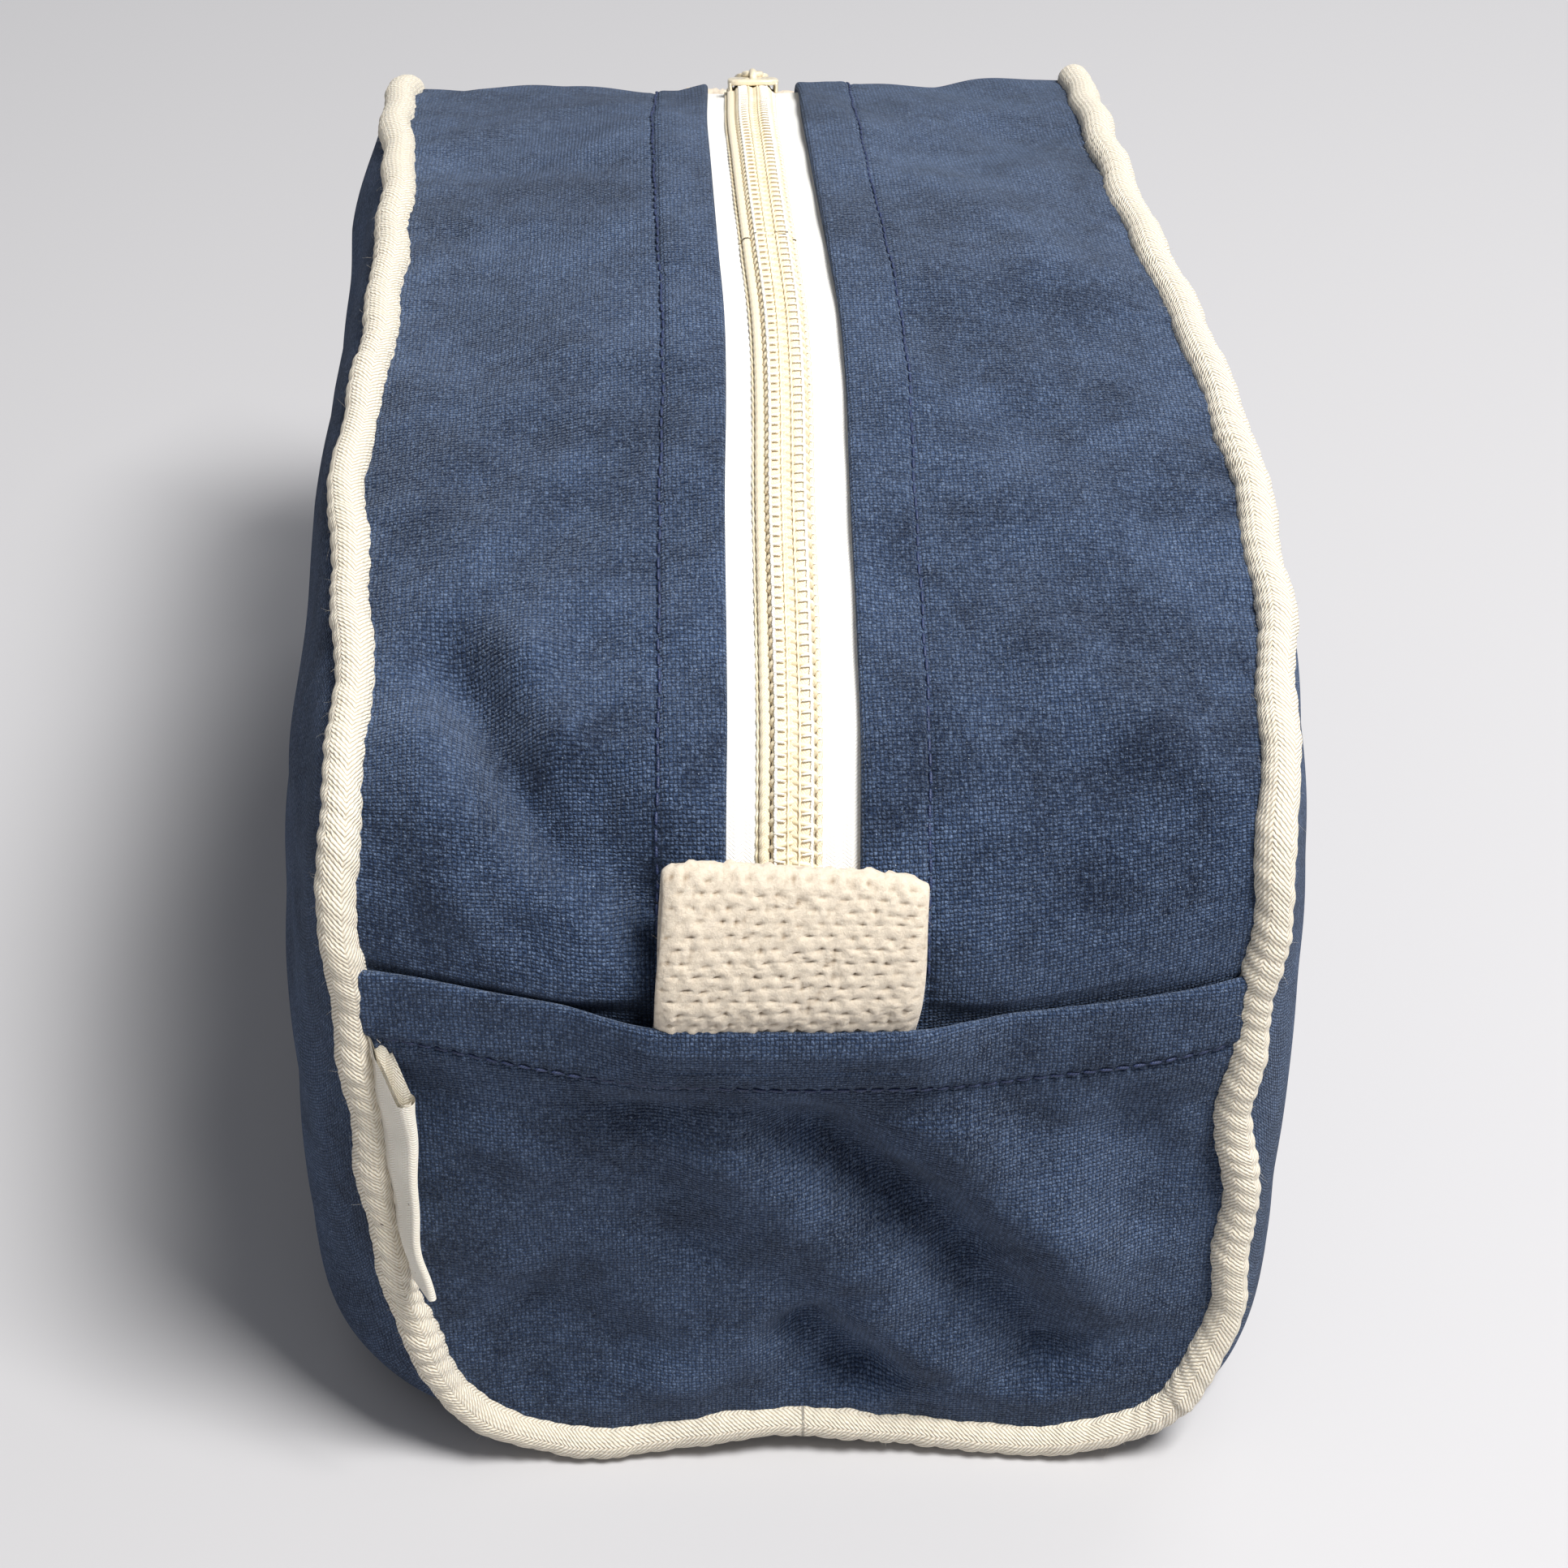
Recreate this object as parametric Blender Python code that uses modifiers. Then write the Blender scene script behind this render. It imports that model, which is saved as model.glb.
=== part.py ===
"""A soft zippered wash bag of brushed canvas with corded piping, modelled piece by piece.

Two strips of canvas make the bag. One runs up the front end, over the top and down the rear end, and
carries the zip. The other runs down one side, under the base and up the other side. One closed seam joins
them, and a piping goes round it. Units are metres, +Z is up, the front end faces -Y, and the origin is on
the floor under the middle of the bag.
"""

from math import asin, ceil, cos, pi, radians, sin, sqrt

import bmesh
import bpy
from mathutils import Matrix, Vector

# The seam: a loop that the piping follows.
SEAM_WIDTH = 0.140
SEAM_TOP = 0.154  # height of the piping's middle at the top of the sides
SEAM_FOOT = 0.0042  # height of the piping's middle along the base
SEAM_CROWN_RADIUS = 0.380
SEAM_SHOULDER_RADIUS = 0.028
SEAM_CORNER_RADIUS = 0.032  # rounds the lower corners of the end panels

# The ridge: the middle line of the strip that carries the zip. Its crown is the slider's track.
RIDGE_RISE = 0.008  # ridge above the seam at the middle of the bag
RIDGE_TOP = SEAM_TOP + RIDGE_RISE
RIDGE_CROWN_RADIUS = 0.265
RIDGE_SHOULDER_RADIUS = 0.042

CROWN_HALF_LENGTH = 0.110  # where crown turns to shoulder, on the seam and on the ridge
SIDE_BULGE = 0.0125
GAP = 0.0004  # kept between pieces that touch on the real bag

# Cloth and tape
CANVAS = 0.0012
LINING = 0.0006
PIPING_RADIUS = 0.00275
PIPING_COVER = 0.0007
SEAM_CLEARANCE = PIPING_RADIUS + 0.00055  # from the seam line to the edge of each canvas piece
BINDING_WIDTH = 0.0070
BINDING = 0.0009
THREAD_RADIUS = 0.0003
HEM_DEPTH = 0.010
HEM_LINE = 2.03  # station of the end panels' folded edge, just below the shoulder
LAP_LINE = 2.16  # the zip's cloth and tape run down behind the hem to a little above this station
TOPSTITCH_INSET = 0.0095

# Zip
ZIP_OPENING = 0.0212  # width of tape that shows between the canvas edges
TAPE_WIDTH = 0.0320
TAPE = 0.0008
CHAIN_WIDTH = 0.0066
CHAIN_HEIGHT = 0.0020
SLIDER_SLOT = 0.0021  # between the two rows of teeth, where the slider's wedge runs
SEWN_END = 0.022  # length of each end of the crown that doesn't open
MOUTH_HALF_LENGTH = CROWN_HALF_LENGTH - SEWN_END
MOUTH_CUT = 0.0006  # gap between a moving half and the cloth beyond its ends
MOUTH_EDGE = SEAM_WIDTH / 2 - SEAM_CLEARANCE - 0.0011  # half width of the moving halves
CHAIN_END_ANGLE = radians(48)  # slope where the teeth end under the tab

# Slider
SLIDER_PARK = 0.0094  # slider's middle from the end of the crown, where it rests
SLIDER_PARK_ANGLE = asin((CROWN_HALF_LENGTH - SLIDER_PARK) / RIDGE_CROWN_RADIUS)
SLIDER_LENGTH = 0.0100
PLATE = 0.0011
WEDGE_WIDTH = 0.0013
WEDGE_LENGTH = 0.0034
FLANGE = 0.0009
SIDE_PLAY = 0.0007  # between the teeth and the flanges
SLIDER_WIDTH = CHAIN_WIDTH + 2 * (SIDE_PLAY + FLANGE)
CHAIN_PLAY = 0.0004
BRIDGE_RADIUS = 0.00185
BRIDGE_WIRE = 0.00055
PIVOT_HEIGHT = 0.0019  # puller's pivot above the slider's top plate
PULLER_LENGTH = 0.024
PULLER_WIDTH = 0.0070
PULLER = 0.0012
PULLER_DROOP = radians(8)

# Tabs and label
TAB_WIDTH = 0.038
WEBBING = 0.0022
TAB_TOP_ANGLE = radians(53)
LABEL_LENGTH = 0.046
LABEL_DEPTH = 0.0075
LABEL_TAPE = 0.0007
LABEL_FOLD_RADIUS = 0.0014
LABEL_TOP = 0.091
LABEL_LEAN = radians(50)

HEART = Vector((0.0, 0.0, 0.5 * SEAM_TOP))
FRONT, REAR = -1, 1
LEFT, RIGHT = -1, 1

NAVY = (0.035, 0.060, 0.130)
CREAM = (0.80, 0.72, 0.58)
WHITE_TAPE = (0.86, 0.83, 0.76)
IVORY = (0.85, 0.75, 0.56)
LINEN = (0.62, 0.55, 0.45)
LINING_GREY = (0.30, 0.32, 0.36)


# ---------------------------------------------------------------- scene

def clear_scene():
    for obj in list(bpy.data.objects):
        bpy.data.objects.remove(obj, do_unlink=True)


def new_collection(name):
    collection = bpy.data.collections.new(name)
    bpy.context.scene.collection.children.link(collection)
    return collection


clear_scene()
BAG = new_collection("wash_bag")
HELPERS = new_collection("helpers")


def material(name, colour, roughness, metallic=0.0):
    found = bpy.data.materials.get(name)
    if found:
        return found
    made = bpy.data.materials.new(name)
    made.use_nodes = True
    shader = made.node_tree.nodes["Principled BSDF"]
    shader.inputs["Base Color"].default_value = (*colour, 1.0)
    shader.inputs["Roughness"].default_value = roughness
    shader.inputs["Metallic"].default_value = metallic
    return made


def canvas_finish():
    return material("navy_canvas", NAVY, 0.95)


def lining_finish():
    return material("lining_cloth", LINING_GREY, 0.6)


def twill_finish():
    return material("cotton_twill", CREAM, 0.9)


def tape_finish():
    return material("zip_tape", WHITE_TAPE, 0.85)


def teeth_finish():
    return material("zip_teeth", IVORY, 0.4)


def enamel_finish():
    return material("slider_enamel", IVORY, 0.35, 0.0)


def webbing_finish():
    return material("cotton_webbing", LINEN, 0.95)


def thread_finish():
    return material("navy_thread", (0.02, 0.04, 0.12), 0.7)


def add(obj, finish, parent=None):
    """Puts a finished object in the bag, and hangs it on its joint's empty without moving it."""
    for collection in list(obj.users_collection):
        collection.objects.unlink(obj)
    BAG.objects.link(obj)
    obj.data.materials.clear()
    obj.data.materials.append(finish)
    if parent:
        obj.parent = parent
        obj.matrix_parent_inverse = parent.matrix_world.inverted()
    return obj


def empty(name, location, turn=0.0, parent=None):
    """A joint's place: its local X axis lies along the bag's X, turned about it by turn."""
    made = bpy.data.objects.new(name, None)
    made.empty_display_size = 0.01
    HELPERS.objects.link(made)
    made.location = location
    made.rotation_euler.x = turn
    if parent:
        made.parent = parent
    bpy.context.view_layer.update()
    return made


# ---------------------------------------------------------------- the bag's form

class Profile:
    """Half of a side view: a shallow crown, a tight shoulder, then an upright face, all tangent.

    A station runs 0 to 1 along the crown, 1 to 2 round the shoulder, and 2 to 3 down the face.
    """

    def __init__(self, top, crown_radius, shoulder_radius, foot, foot_reach=None):
        self.top = top
        self.crown_radius = crown_radius
        self.shoulder_radius = shoulder_radius
        self.foot = foot
        self.slope = asin(CROWN_HALF_LENGTH / crown_radius)
        self.shoulder_reach = (crown_radius - shoulder_radius) * sin(self.slope)
        self.shoulder_height = top - crown_radius + (crown_radius - shoulder_radius) * cos(self.slope)
        self.reach = self.shoulder_reach + shoulder_radius
        self.foot_reach = self.reach if foot_reach is None else foot_reach

    def at(self, station, inset=0.0):
        """(reach from the middle, height) at a station, on a line set in by inset."""
        if station <= 1:
            angle = station * self.slope
            radius = self.crown_radius - inset
            return radius * sin(angle), self.top - self.crown_radius + radius * cos(angle)
        if station <= 2:
            angle = self.slope + (station - 1) * (pi / 2 - self.slope)
            radius = self.shoulder_radius - inset
            return self.shoulder_reach + radius * sin(angle), self.shoulder_height + radius * cos(angle)
        fall = station - 2
        reach = self.reach + (self.foot_reach - self.reach) * fall ** 3
        return reach - inset, self.shoulder_height + (self.foot - self.shoulder_height) * fall

    def station_of_angle(self, angle):
        """Station where the line slopes down by angle."""
        if angle <= self.slope:
            return angle / self.slope
        return 1 + (angle - self.slope) / (pi / 2 - self.slope)

    def station_of_reach(self, reach):
        """Station on the crown this far from the middle."""
        return asin(reach / self.crown_radius) / self.slope


SEAM = Profile(SEAM_TOP, SEAM_CROWN_RADIUS, SEAM_SHOULDER_RADIUS, SEAM_FOOT)
RIDGE = Profile(RIDGE_TOP, RIDGE_CROWN_RADIUS, RIDGE_SHOULDER_RADIUS, SEAM_FOOT, SEAM.reach)


def half_width(height, inset=0.0):
    """Half the end panel's width at a height: round at its lower corners, inset from the seam."""
    corner = SEAM_FOOT + SEAM_CORNER_RADIUS
    if height >= corner:
        return SEAM_WIDTH / 2 - inset
    radius = SEAM_CORNER_RADIUS - inset
    drop = min(corner - height, radius)
    return SEAM_WIDTH / 2 - SEAM_CORNER_RADIUS + sqrt(radius ** 2 - drop ** 2)


def strip_point(x, station, end):
    """On the strip with the zip: x across, a station along, towards the front or rear end."""
    seam_reach, seam_height = SEAM.at(station)
    ridge_reach, ridge_height = RIDGE.at(station)
    share = 1 - min(1.0, abs(x) / half_width(seam_height)) ** 2
    reach = seam_reach + (ridge_reach - seam_reach) * share
    height = seam_height + (ridge_height - seam_height) * share
    return Vector((x, end * reach, height))


def body_point(along, around, inset=0.0):
    """On the side-and-base strip: along is a signed station from front to rear, and around runs from -1,
    the top of the left side, through 0, the middle of the base, to 1, the top of the right side."""
    reach, top = SEAM.at(abs(along), inset)
    side, share = (1 if around > 0 else -1), abs(around)
    flat = SEAM_WIDTH / 2 - SEAM_CORNER_RADIUS
    radius = SEAM_CORNER_RADIUS
    if share <= BASE_SHARE:
        x, z = flat * share / BASE_SHARE, 0.0
    elif share <= CORNER_SHARE:
        angle = pi / 2 * (share - BASE_SHARE) / (CORNER_SHARE - BASE_SHARE)
        x, z = flat + radius * sin(angle), radius * (1 - cos(angle))
    else:
        x, z = flat + radius, radius + (top - radius) * (share - CORNER_SHARE) / (1 - CORNER_SHARE)
    if share > BASE_SHARE:
        across = sin(pi * (share - BASE_SHARE) / (1 - BASE_SHARE))
        x += SIDE_BULGE * across * (1 - (reach / SEAM.reach) ** 4)
    return Vector((side * x, reach if along > 0 else -reach, z))


BASE_SHARE = 0.22
CORNER_SHARE = 0.50


def outward(point, a, b):
    """Unit normal of the surface point(a, b), away from the middle of the bag."""
    step = 1e-3
    normal = (point(a + step, b) - point(a - step, b)).cross(point(a, b + step) - point(a, b - step))
    normal.normalize()
    return normal if normal.dot(point(a, b) - HEART) > 0 else -normal


def lifted(point, lift, last=9.0):
    """The surface point(a, b) moved outward by lift. Past last, b has no slope of its own to go by."""
    return lambda a, b: point(a, b) + outward(point, a, max(-last, min(last, b))) * lift


def spread(start, stop, most):
    """Evenly spaced values from start to stop, no further apart than most."""
    count = max(1, ceil(abs(stop - start) / most - 1e-9))
    return [start + (stop - start) * i / count for i in range(count + 1)]


# ---------------------------------------------------------------- making cloth, cord and rod

def cloth(name, point, across, along, thickness, finish, parent=None, offset=-1.0):
    """A sheet of cloth: a grid laid on point(a, b), then thickened inward."""
    mesh = bpy.data.meshes.new(name)
    bm = bmesh.new()
    bmesh.ops.create_grid(bm, x_segments=len(across) - 1, y_segments=len(along) - 1, size=1.0)
    for vert in bm.verts:
        i = round((vert.co.x + 1) / 2 * (len(across) - 1))
        j = round((vert.co.y + 1) / 2 * (len(along) - 1))
        vert.co = point(across[i], along[j])
    bm.normal_update()
    if sum(face.normal.dot(face.calc_center_median() - HEART) for face in bm.faces) < 0:
        bmesh.ops.reverse_faces(bm, faces=bm.faces)
    bm.to_mesh(mesh)
    bm.free()
    mesh.shade_smooth()
    obj = bpy.data.objects.new(name, mesh)
    thicken(obj, thickness, offset)
    return add(obj, finish, parent)


def thicken(obj, thickness, offset):
    solid = obj.modifiers.new("thickness", "SOLIDIFY")
    solid.thickness = thickness
    solid.offset = offset
    solid.use_even_offset = True
    solid.use_quality_normals = True


def line(name, points, radius, resolution=1, caps=True):
    """A round thread or cord along points, as a curve with a bevel."""
    curve = bpy.data.curves.new(name, "CURVE")
    curve.dimensions = "3D"
    spline = curve.splines.new("POLY")
    spline.points.add(len(points) - 1)
    for slot, point in zip(spline.points, points):
        slot.co = (*point, 1.0)
    curve.bevel_depth = radius
    curve.bevel_resolution = resolution
    curve.use_fill_caps = caps
    obj = bpy.data.objects.new(name, curve)
    HELPERS.objects.link(obj)
    return obj


def as_mesh(curve_object):
    """The same shape as a mesh object with its caps welded, so that modifiers can work on it."""
    graph = bpy.context.evaluated_depsgraph_get()
    mesh = bpy.data.meshes.new_from_object(curve_object.evaluated_get(graph))
    bm = bmesh.new()
    bm.from_mesh(mesh)
    bmesh.ops.remove_doubles(bm, verts=bm.verts, dist=1e-6)
    bm.to_mesh(mesh)
    bm.free()
    obj = bpy.data.objects.new(curve_object.name + "_mesh", mesh)
    obj.matrix_world = curve_object.matrix_world
    name = curve_object.name
    bpy.data.objects.remove(curve_object)
    obj.name = name
    return obj


def box(name, size, centre, parent=None):
    """A block of this size, centred in its parent's frame."""
    mesh = bpy.data.meshes.new(name)
    bm = bmesh.new()
    bmesh.ops.create_cube(bm, size=1.0, matrix=Matrix.Diagonal((*size, 1.0)))
    bm.to_mesh(mesh)
    bm.free()
    obj = bpy.data.objects.new(name, mesh)
    obj.location = centre
    obj.parent = parent
    return obj


def combine(target, helper, operation):
    """A Boolean of target with a hidden helper."""
    HELPERS.objects.link(helper)
    helper.hide_render = True
    helper.display_type = "WIRE"
    modifier = target.modifiers.new(operation.lower(), "BOOLEAN")
    modifier.operation = operation
    modifier.solver = "EXACT"
    modifier.object = helper


# ---------------------------------------------------------------- canvas

def side_point(around, along):
    return body_point(along, around, SEAM_CLEARANCE)


def end_rows(first, inset):
    """Stations down an end panel, closer together round its lower corners."""
    foot = 3 - (inset + 0.0002) / (SEAM.shoulder_height - SEAM_FOOT)
    corner = 3 - SEAM_CORNER_RADIUS / (SEAM.shoulder_height - SEAM_FOOT)
    rows = spread(first, corner, 0.12)
    for i in range(1, 6):
        rows.append(corner + (foot - corner) * sin(pi / 2 * i / 5))
    return rows


def end_point(end, inset, lift=0.0):
    """Point of an end panel by (share of its half width, station), set in from the seam and lifted."""
    def point(share, station):
        height = SEAM.at(station)[1]
        return strip_point(share * (half_width(height, inset) - 1e-5), station, end)

    return lifted(point, lift) if lift else point


def hem_lift(station):
    """The folded top of an end panel laps over the cloth that comes down from the zip."""
    fall = min(1.0, max(0.0, (station - LAP_LINE) / 0.26))
    return (CANVAS + GAP) * cos(pi / 2 * fall) ** 2


def make_end_panel(name, end):
    base = end_point(end, SEAM_CLEARANCE)

    def point(share, station):
        return base(share, station) + outward(base, share, station) * hem_lift(station)

    cloth(name, point, spread(-1, 1, 0.2), end_rows(HEM_LINE, SEAM_CLEARANCE), CANVAS, canvas_finish())


def make_zip_side(side):
    """Canvas, tape and teeth on one side of the zip: a moving middle and two sewn-down ends."""
    word = "left" if side < 0 else "right"
    hinge = empty("mouth_" + word + "_hinge", (side * MOUTH_EDGE, 0.0, SEAM_TOP))
    mouth = RIDGE.station_of_reach(MOUTH_HALF_LENGTH)
    cut = RIDGE.station_of_reach(MOUTH_HALF_LENGTH + MOUTH_CUT)
    tooth = RIDGE.station_of_angle(CHAIN_END_ANGLE)
    middle, end_run, tooth_run = (-mouth, mouth), (cut, LAP_LINE - 0.02), (cut, tooth)
    tape_top = -(CANVAS + GAP)
    rows = (
        ("canvas", ZIP_OPENING / 2, MOUTH_EDGE, SEAM_WIDTH / 2 - SEAM_CLEARANCE, 0.0, CANVAS, end_run, canvas_finish()),
        ("tape", SLIDER_SLOT / 2, TAPE_WIDTH / 2, TAPE_WIDTH / 2, tape_top, TAPE, end_run, tape_finish()),
        (
            "teeth",
            SLIDER_SLOT / 2,
            CHAIN_WIDTH / 2,
            CHAIN_WIDTH / 2,
            tape_top + GAP + CHAIN_HEIGHT,
            CHAIN_HEIGHT,
            tooth_run,
            teeth_finish(),
        ),
    )
    for kind, inner, outer, outer_end, lift, thickness, run, finish in rows:
        step = 0.011 if kind == "canvas" else 1.0

        def point(x, along):
            return strip_point(x, abs(along), 1 if along > 0 else -1)

        sheet = lifted(point, lift) if lift else point
        xs = [side * x for x in spread(inner, outer, step)]
        cloth(f"zip_{kind}_{word}", sheet, xs, spread(*middle, 0.1), thickness, finish, hinge)
        xs = [side * x for x in spread(inner, outer_end, step)]
        for end, place in ((FRONT, "front"), (REAR, "rear")):
            alongs = [end * s for s in spread(run[0], 1.0, 0.1) + spread(1.0, run[1], 0.12)[1:]]
            cloth(f"zip_{kind}_{word}_{place}", sheet, xs, alongs, thickness, finish)
    inside = -(CANVAS + TAPE + 3 * GAP)
    xs = [side * x for x in spread(TAPE_WIDTH / 2 - 0.004, MOUTH_EDGE - 0.003, 0.013)]
    cloth(
        f"lining_zip_{word}",
        lifted(lambda x, a: strip_point(x, abs(a), 1 if a > 0 else -1), inside),
        xs,
        spread(-mouth, mouth, 0.1),
        LINING,
        lining_finish(),
        hinge,
    )


def make_lining():
    """Thin cloth just inside the canvas: one piece under the sides and base, one behind each end."""
    inset = SEAM_CLEARANCE + 0.0022
    inside = -(CANVAS + 1.5 * GAP)
    cloth(
        "lining_body",
        lifted(lambda a, b: body_point(b, a, inset), inside, 1.9),
        BODY_ROUNDS,
        BODY_STATIONS,
        LINING,
        lining_finish(),
    )
    for end, place in ((FRONT, "front"), (REAR, "rear")):
        rows = spread(RIDGE.station_of_reach(MOUTH_HALF_LENGTH + MOUTH_CUT), 1.0, 0.1)
        rows += spread(1.0, 2.0, 0.12)[1:] + end_rows(2.0, inset + 0.0014)[1:]
        panel = cloth(
            "lining_" + place,
            end_point(end, inset + 0.0014, -(CANVAS + TAPE + 3 * GAP)),
            spread(-1, 1, 0.2),
            rows,
            LINING,
            lining_finish(),
        )
        slot_size = (SLIDER_WIDTH + 0.014, 2 * (SEWN_END - 0.001), 0.060)
        slot = box("slot_" + place, slot_size, (0, end * (MOUTH_HALF_LENGTH - 0.001), RIDGE_TOP - 0.006))
        combine(panel, slot, "DIFFERENCE")


def mirrored(steps):
    """The steps below zero, in order, then the steps themselves."""
    return [-step for step in reversed(steps)] + steps


BODY_STATIONS = mirrored(spread(0.0, 1.0, 0.18)[1:] + spread(1.0, 2.0, 0.2)[1:])
BODY_ROUNDS = [0.0] + spread(BASE_SHARE, CORNER_SHARE, 0.07) + spread(CORNER_SHARE, 1.0, 0.11)[1:]
BODY_ROUNDS = mirrored(BODY_ROUNDS[1:])[: len(BODY_ROUNDS) - 1] + BODY_ROUNDS


def make_canvas():
    cloth("body_panel", side_point, BODY_ROUNDS, BODY_STATIONS, CANVAS, canvas_finish())
    make_end_panel("end_panel_front", FRONT)
    make_end_panel("end_panel_rear", REAR)
    make_zip_side(LEFT)
    make_zip_side(RIGHT)


# ---------------------------------------------------------------- piping, binding and threads

def seam_path():
    """(middle, into the strip, into the body) all along the closed seam."""
    places = []
    alongs = [-s for s in reversed(spread(1.0, 2.0, 0.17))] + spread(-1.0, 1.0, 0.12)[1:-1]
    alongs += spread(1.0, 2.0, 0.17)
    for side, end in ((LEFT, REAR), (RIGHT, FRONT)):
        for along in alongs if side < 0 else reversed(alongs):
            reach, height = SEAM.at(abs(along))
            in_reach, in_height = SEAM.at(abs(along), 0.01)
            flip = 1 if along > 0 else -1
            down = Vector((0, flip * (in_reach - reach), in_height - height)).normalized()
            places.append((Vector((side * SEAM_WIDTH / 2, flip * reach, height)), Vector((-side, 0, 0)), down))
        into_body = Vector((0, -end, 0))
        foot, face = SEAM_FOOT + SEAM_CORNER_RADIUS, end * SEAM.reach
        for height in spread(SEAM.shoulder_height, foot, 0.016)[1:-1]:
            places.append((Vector((side * SEAM_WIDTH / 2, face, height)), Vector((-side, 0, 0)), into_body))
        centre = SEAM_WIDTH / 2 - SEAM_CORNER_RADIUS
        for turn in (1, -1):
            for i in range(7):
                angle = pi / 2 * i / 6 if turn > 0 else pi / 2 * (1 - i / 6)
                spoke = Vector((turn * side * cos(angle), 0, -sin(angle)))
                middle = Vector((turn * side * centre, face, foot)) + spoke * SEAM_CORNER_RADIUS
                places.append((middle, -spoke, into_body))
            if turn > 0:
                for x in spread(centre, -centre, 0.02)[1:-1]:
                    places.append((Vector((side * x, face, SEAM_FOOT)), Vector((0, 0, 1)), into_body))
        for height in spread(foot, SEAM.shoulder_height, 0.016)[1:-1]:
            places.append((Vector((-side * SEAM_WIDTH / 2, face, height)), Vector((side, 0, 0)), into_body))
    return places


def sweep(name, outline, finish):
    """A closed ring that keeps one outline, given as (along the seam's inward line, across it), all round."""
    mesh = bpy.data.meshes.new(name)
    bm = bmesh.new()
    rings = []
    for middle, strip, body in seam_path():
        inward, across = (strip + body).normalized(), (strip - body).normalized()
        rings.append([bm.verts.new(middle + inward * u + across * v) for u, v in outline])
    count = len(outline)
    for ring, following in zip(rings, rings[1:] + rings[:1]):
        for i in range(count):
            j = (i + 1) % count
            bm.faces.new((ring[i], ring[j], following[j], following[i]))
    bmesh.ops.recalc_face_normals(bm, faces=bm.faces)
    if bm.calc_volume(signed=True) < 0:
        bmesh.ops.reverse_faces(bm, faces=bm.faces)
    bm.to_mesh(mesh)
    bm.free()
    mesh.shade_smooth()
    return add(bpy.data.objects.new(name, mesh), finish)


def arc(radius, start, stop, count):
    step = (stop - start) / count
    return [(radius * cos(start + step * i), radius * sin(start + step * i)) for i in range(count + 1)]


def make_piping():
    """A twill tape folded round a cord, its two edges caught side by side in the seam."""
    lip = PIPING_RADIUS + 0.0012
    core = PIPING_RADIUS - PIPING_COVER - 0.0003
    slit = 0.00035
    outer_start, inner_start = asin((slit + PIPING_COVER) / PIPING_RADIUS), asin(slit / (core + 0.0003))
    outline = [(lip, slit + PIPING_COVER)] + arc(PIPING_RADIUS, outer_start, 2 * pi - outer_start, 7)
    outline += [(lip, -slit - PIPING_COVER), (lip, -slit)]
    outline += arc(core + 0.0003, 2 * pi - inner_start, inner_start, 6) + [(lip, slit)]
    sweep("piping_cover", outline, twill_finish())
    sweep("piping_cord", arc(core - 0.0001, 0, 2 * pi * 5 / 6, 5), twill_finish())
    start, half = lip + 0.0006, BINDING
    sweep(
        "seam_binding",
        [(start, -half), (start + BINDING_WIDTH, -half), (start + BINDING_WIDTH, half), (start, half)],
        lining_finish(),
    )


def make_thread(name, point, alongs):
    """One row of topstitching, as a single thread lying on the cloth."""
    places = [point(along) for along in alongs]
    thread = as_mesh(line(name, places, THREAD_RADIUS, 0))
    add(thread, thread_finish())


def make_threads():
    clear = THREAD_RADIUS + 0.0001
    for end, place in ((FRONT, "front"), (REAR, "rear")):
        base = end_point(end, SEAM_CLEARANCE)
        depth = HEM_LINE + HEM_DEPTH / (RIDGE.shoulder_height - RIDGE.foot)
        lift = hem_lift(depth) + clear + 0.0001
        make_thread(
            "hem_stitch_" + place,
            lambda share: base(share, depth) + outward(base, share, depth) * lift,
            spread(-0.97, 0.97, 0.1),
        )


# ---------------------------------------------------------------- tabs and label

def make_tab(name, end):
    """Cotton webbing folded double, its cut ends sewn in at the hem, so that it lifts like a handle."""
    top = RIDGE.station_of_angle(TAB_TOP_ANGLE)
    foot = HEM_LINE - 0.014
    low, high = GAP + WEBBING / 2, GAP + 1.5 * WEBBING + 0.0008
    path = [(s, low) for s in spread(foot, 2.0, 1)[:-1] + spread(2.0, top, 0.09)]
    middle, half = (low + high) / 2, (high - low) / 2
    for i in range(1, 5):
        angle = pi * i / 5
        path.append((top - sin(angle) * half / RIDGE_SHOULDER_RADIUS / (pi / 2 - RIDGE.slope), middle - half * cos(angle)))
    path += [(s, high) for s in spread(top, 2.0, 0.09) + [foot]]

    def base(x, station):
        return strip_point(0.0, station, end) + Vector((x, 0, 0))

    def point(x, step):
        station, lift = path[round(step)]
        return base(x, station) + outward(base, 0.0, station) * lift

    hinge_point = point(0.0, len(path) - 1) + Vector((0, end * WEBBING / 2, 0))
    hinge = empty(name + "_hinge", hinge_point)
    cloth(name, point, [-TAB_WIDTH / 2, 0.0, TAB_WIDTH / 2], list(range(len(path))), WEBBING,
          webbing_finish(), hinge, 0.0)


def make_label():
    """A plain folded tape, its edges sewn in behind the piping at the front's left side."""
    root = Vector((-SEAM_WIDTH / 2 + PIPING_RADIUS + 0.0008, -SEAM.reach - 0.0024, 0.0))
    depth, radius = LABEL_DEPTH, LABEL_FOLD_RADIUS
    outline = [(0.0, -radius), (depth, -radius)] + arc_points(depth, radius) + [(0.0, radius)]
    direction = Vector((sin(LABEL_LEAN), -cos(LABEL_LEAN), 0))
    across = Vector((cos(LABEL_LEAN), sin(LABEL_LEAN), 0))

    def point(step, height):
        u, v = outline[round(step)]
        return root + direction * u + across * (v - radius) + Vector((0, 0, height))

    cloth("side_label", point, list(range(len(outline))), [LABEL_TOP - LABEL_LENGTH, LABEL_TOP], LABEL_TAPE,
          twill_finish(), None, 0.0)


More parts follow.
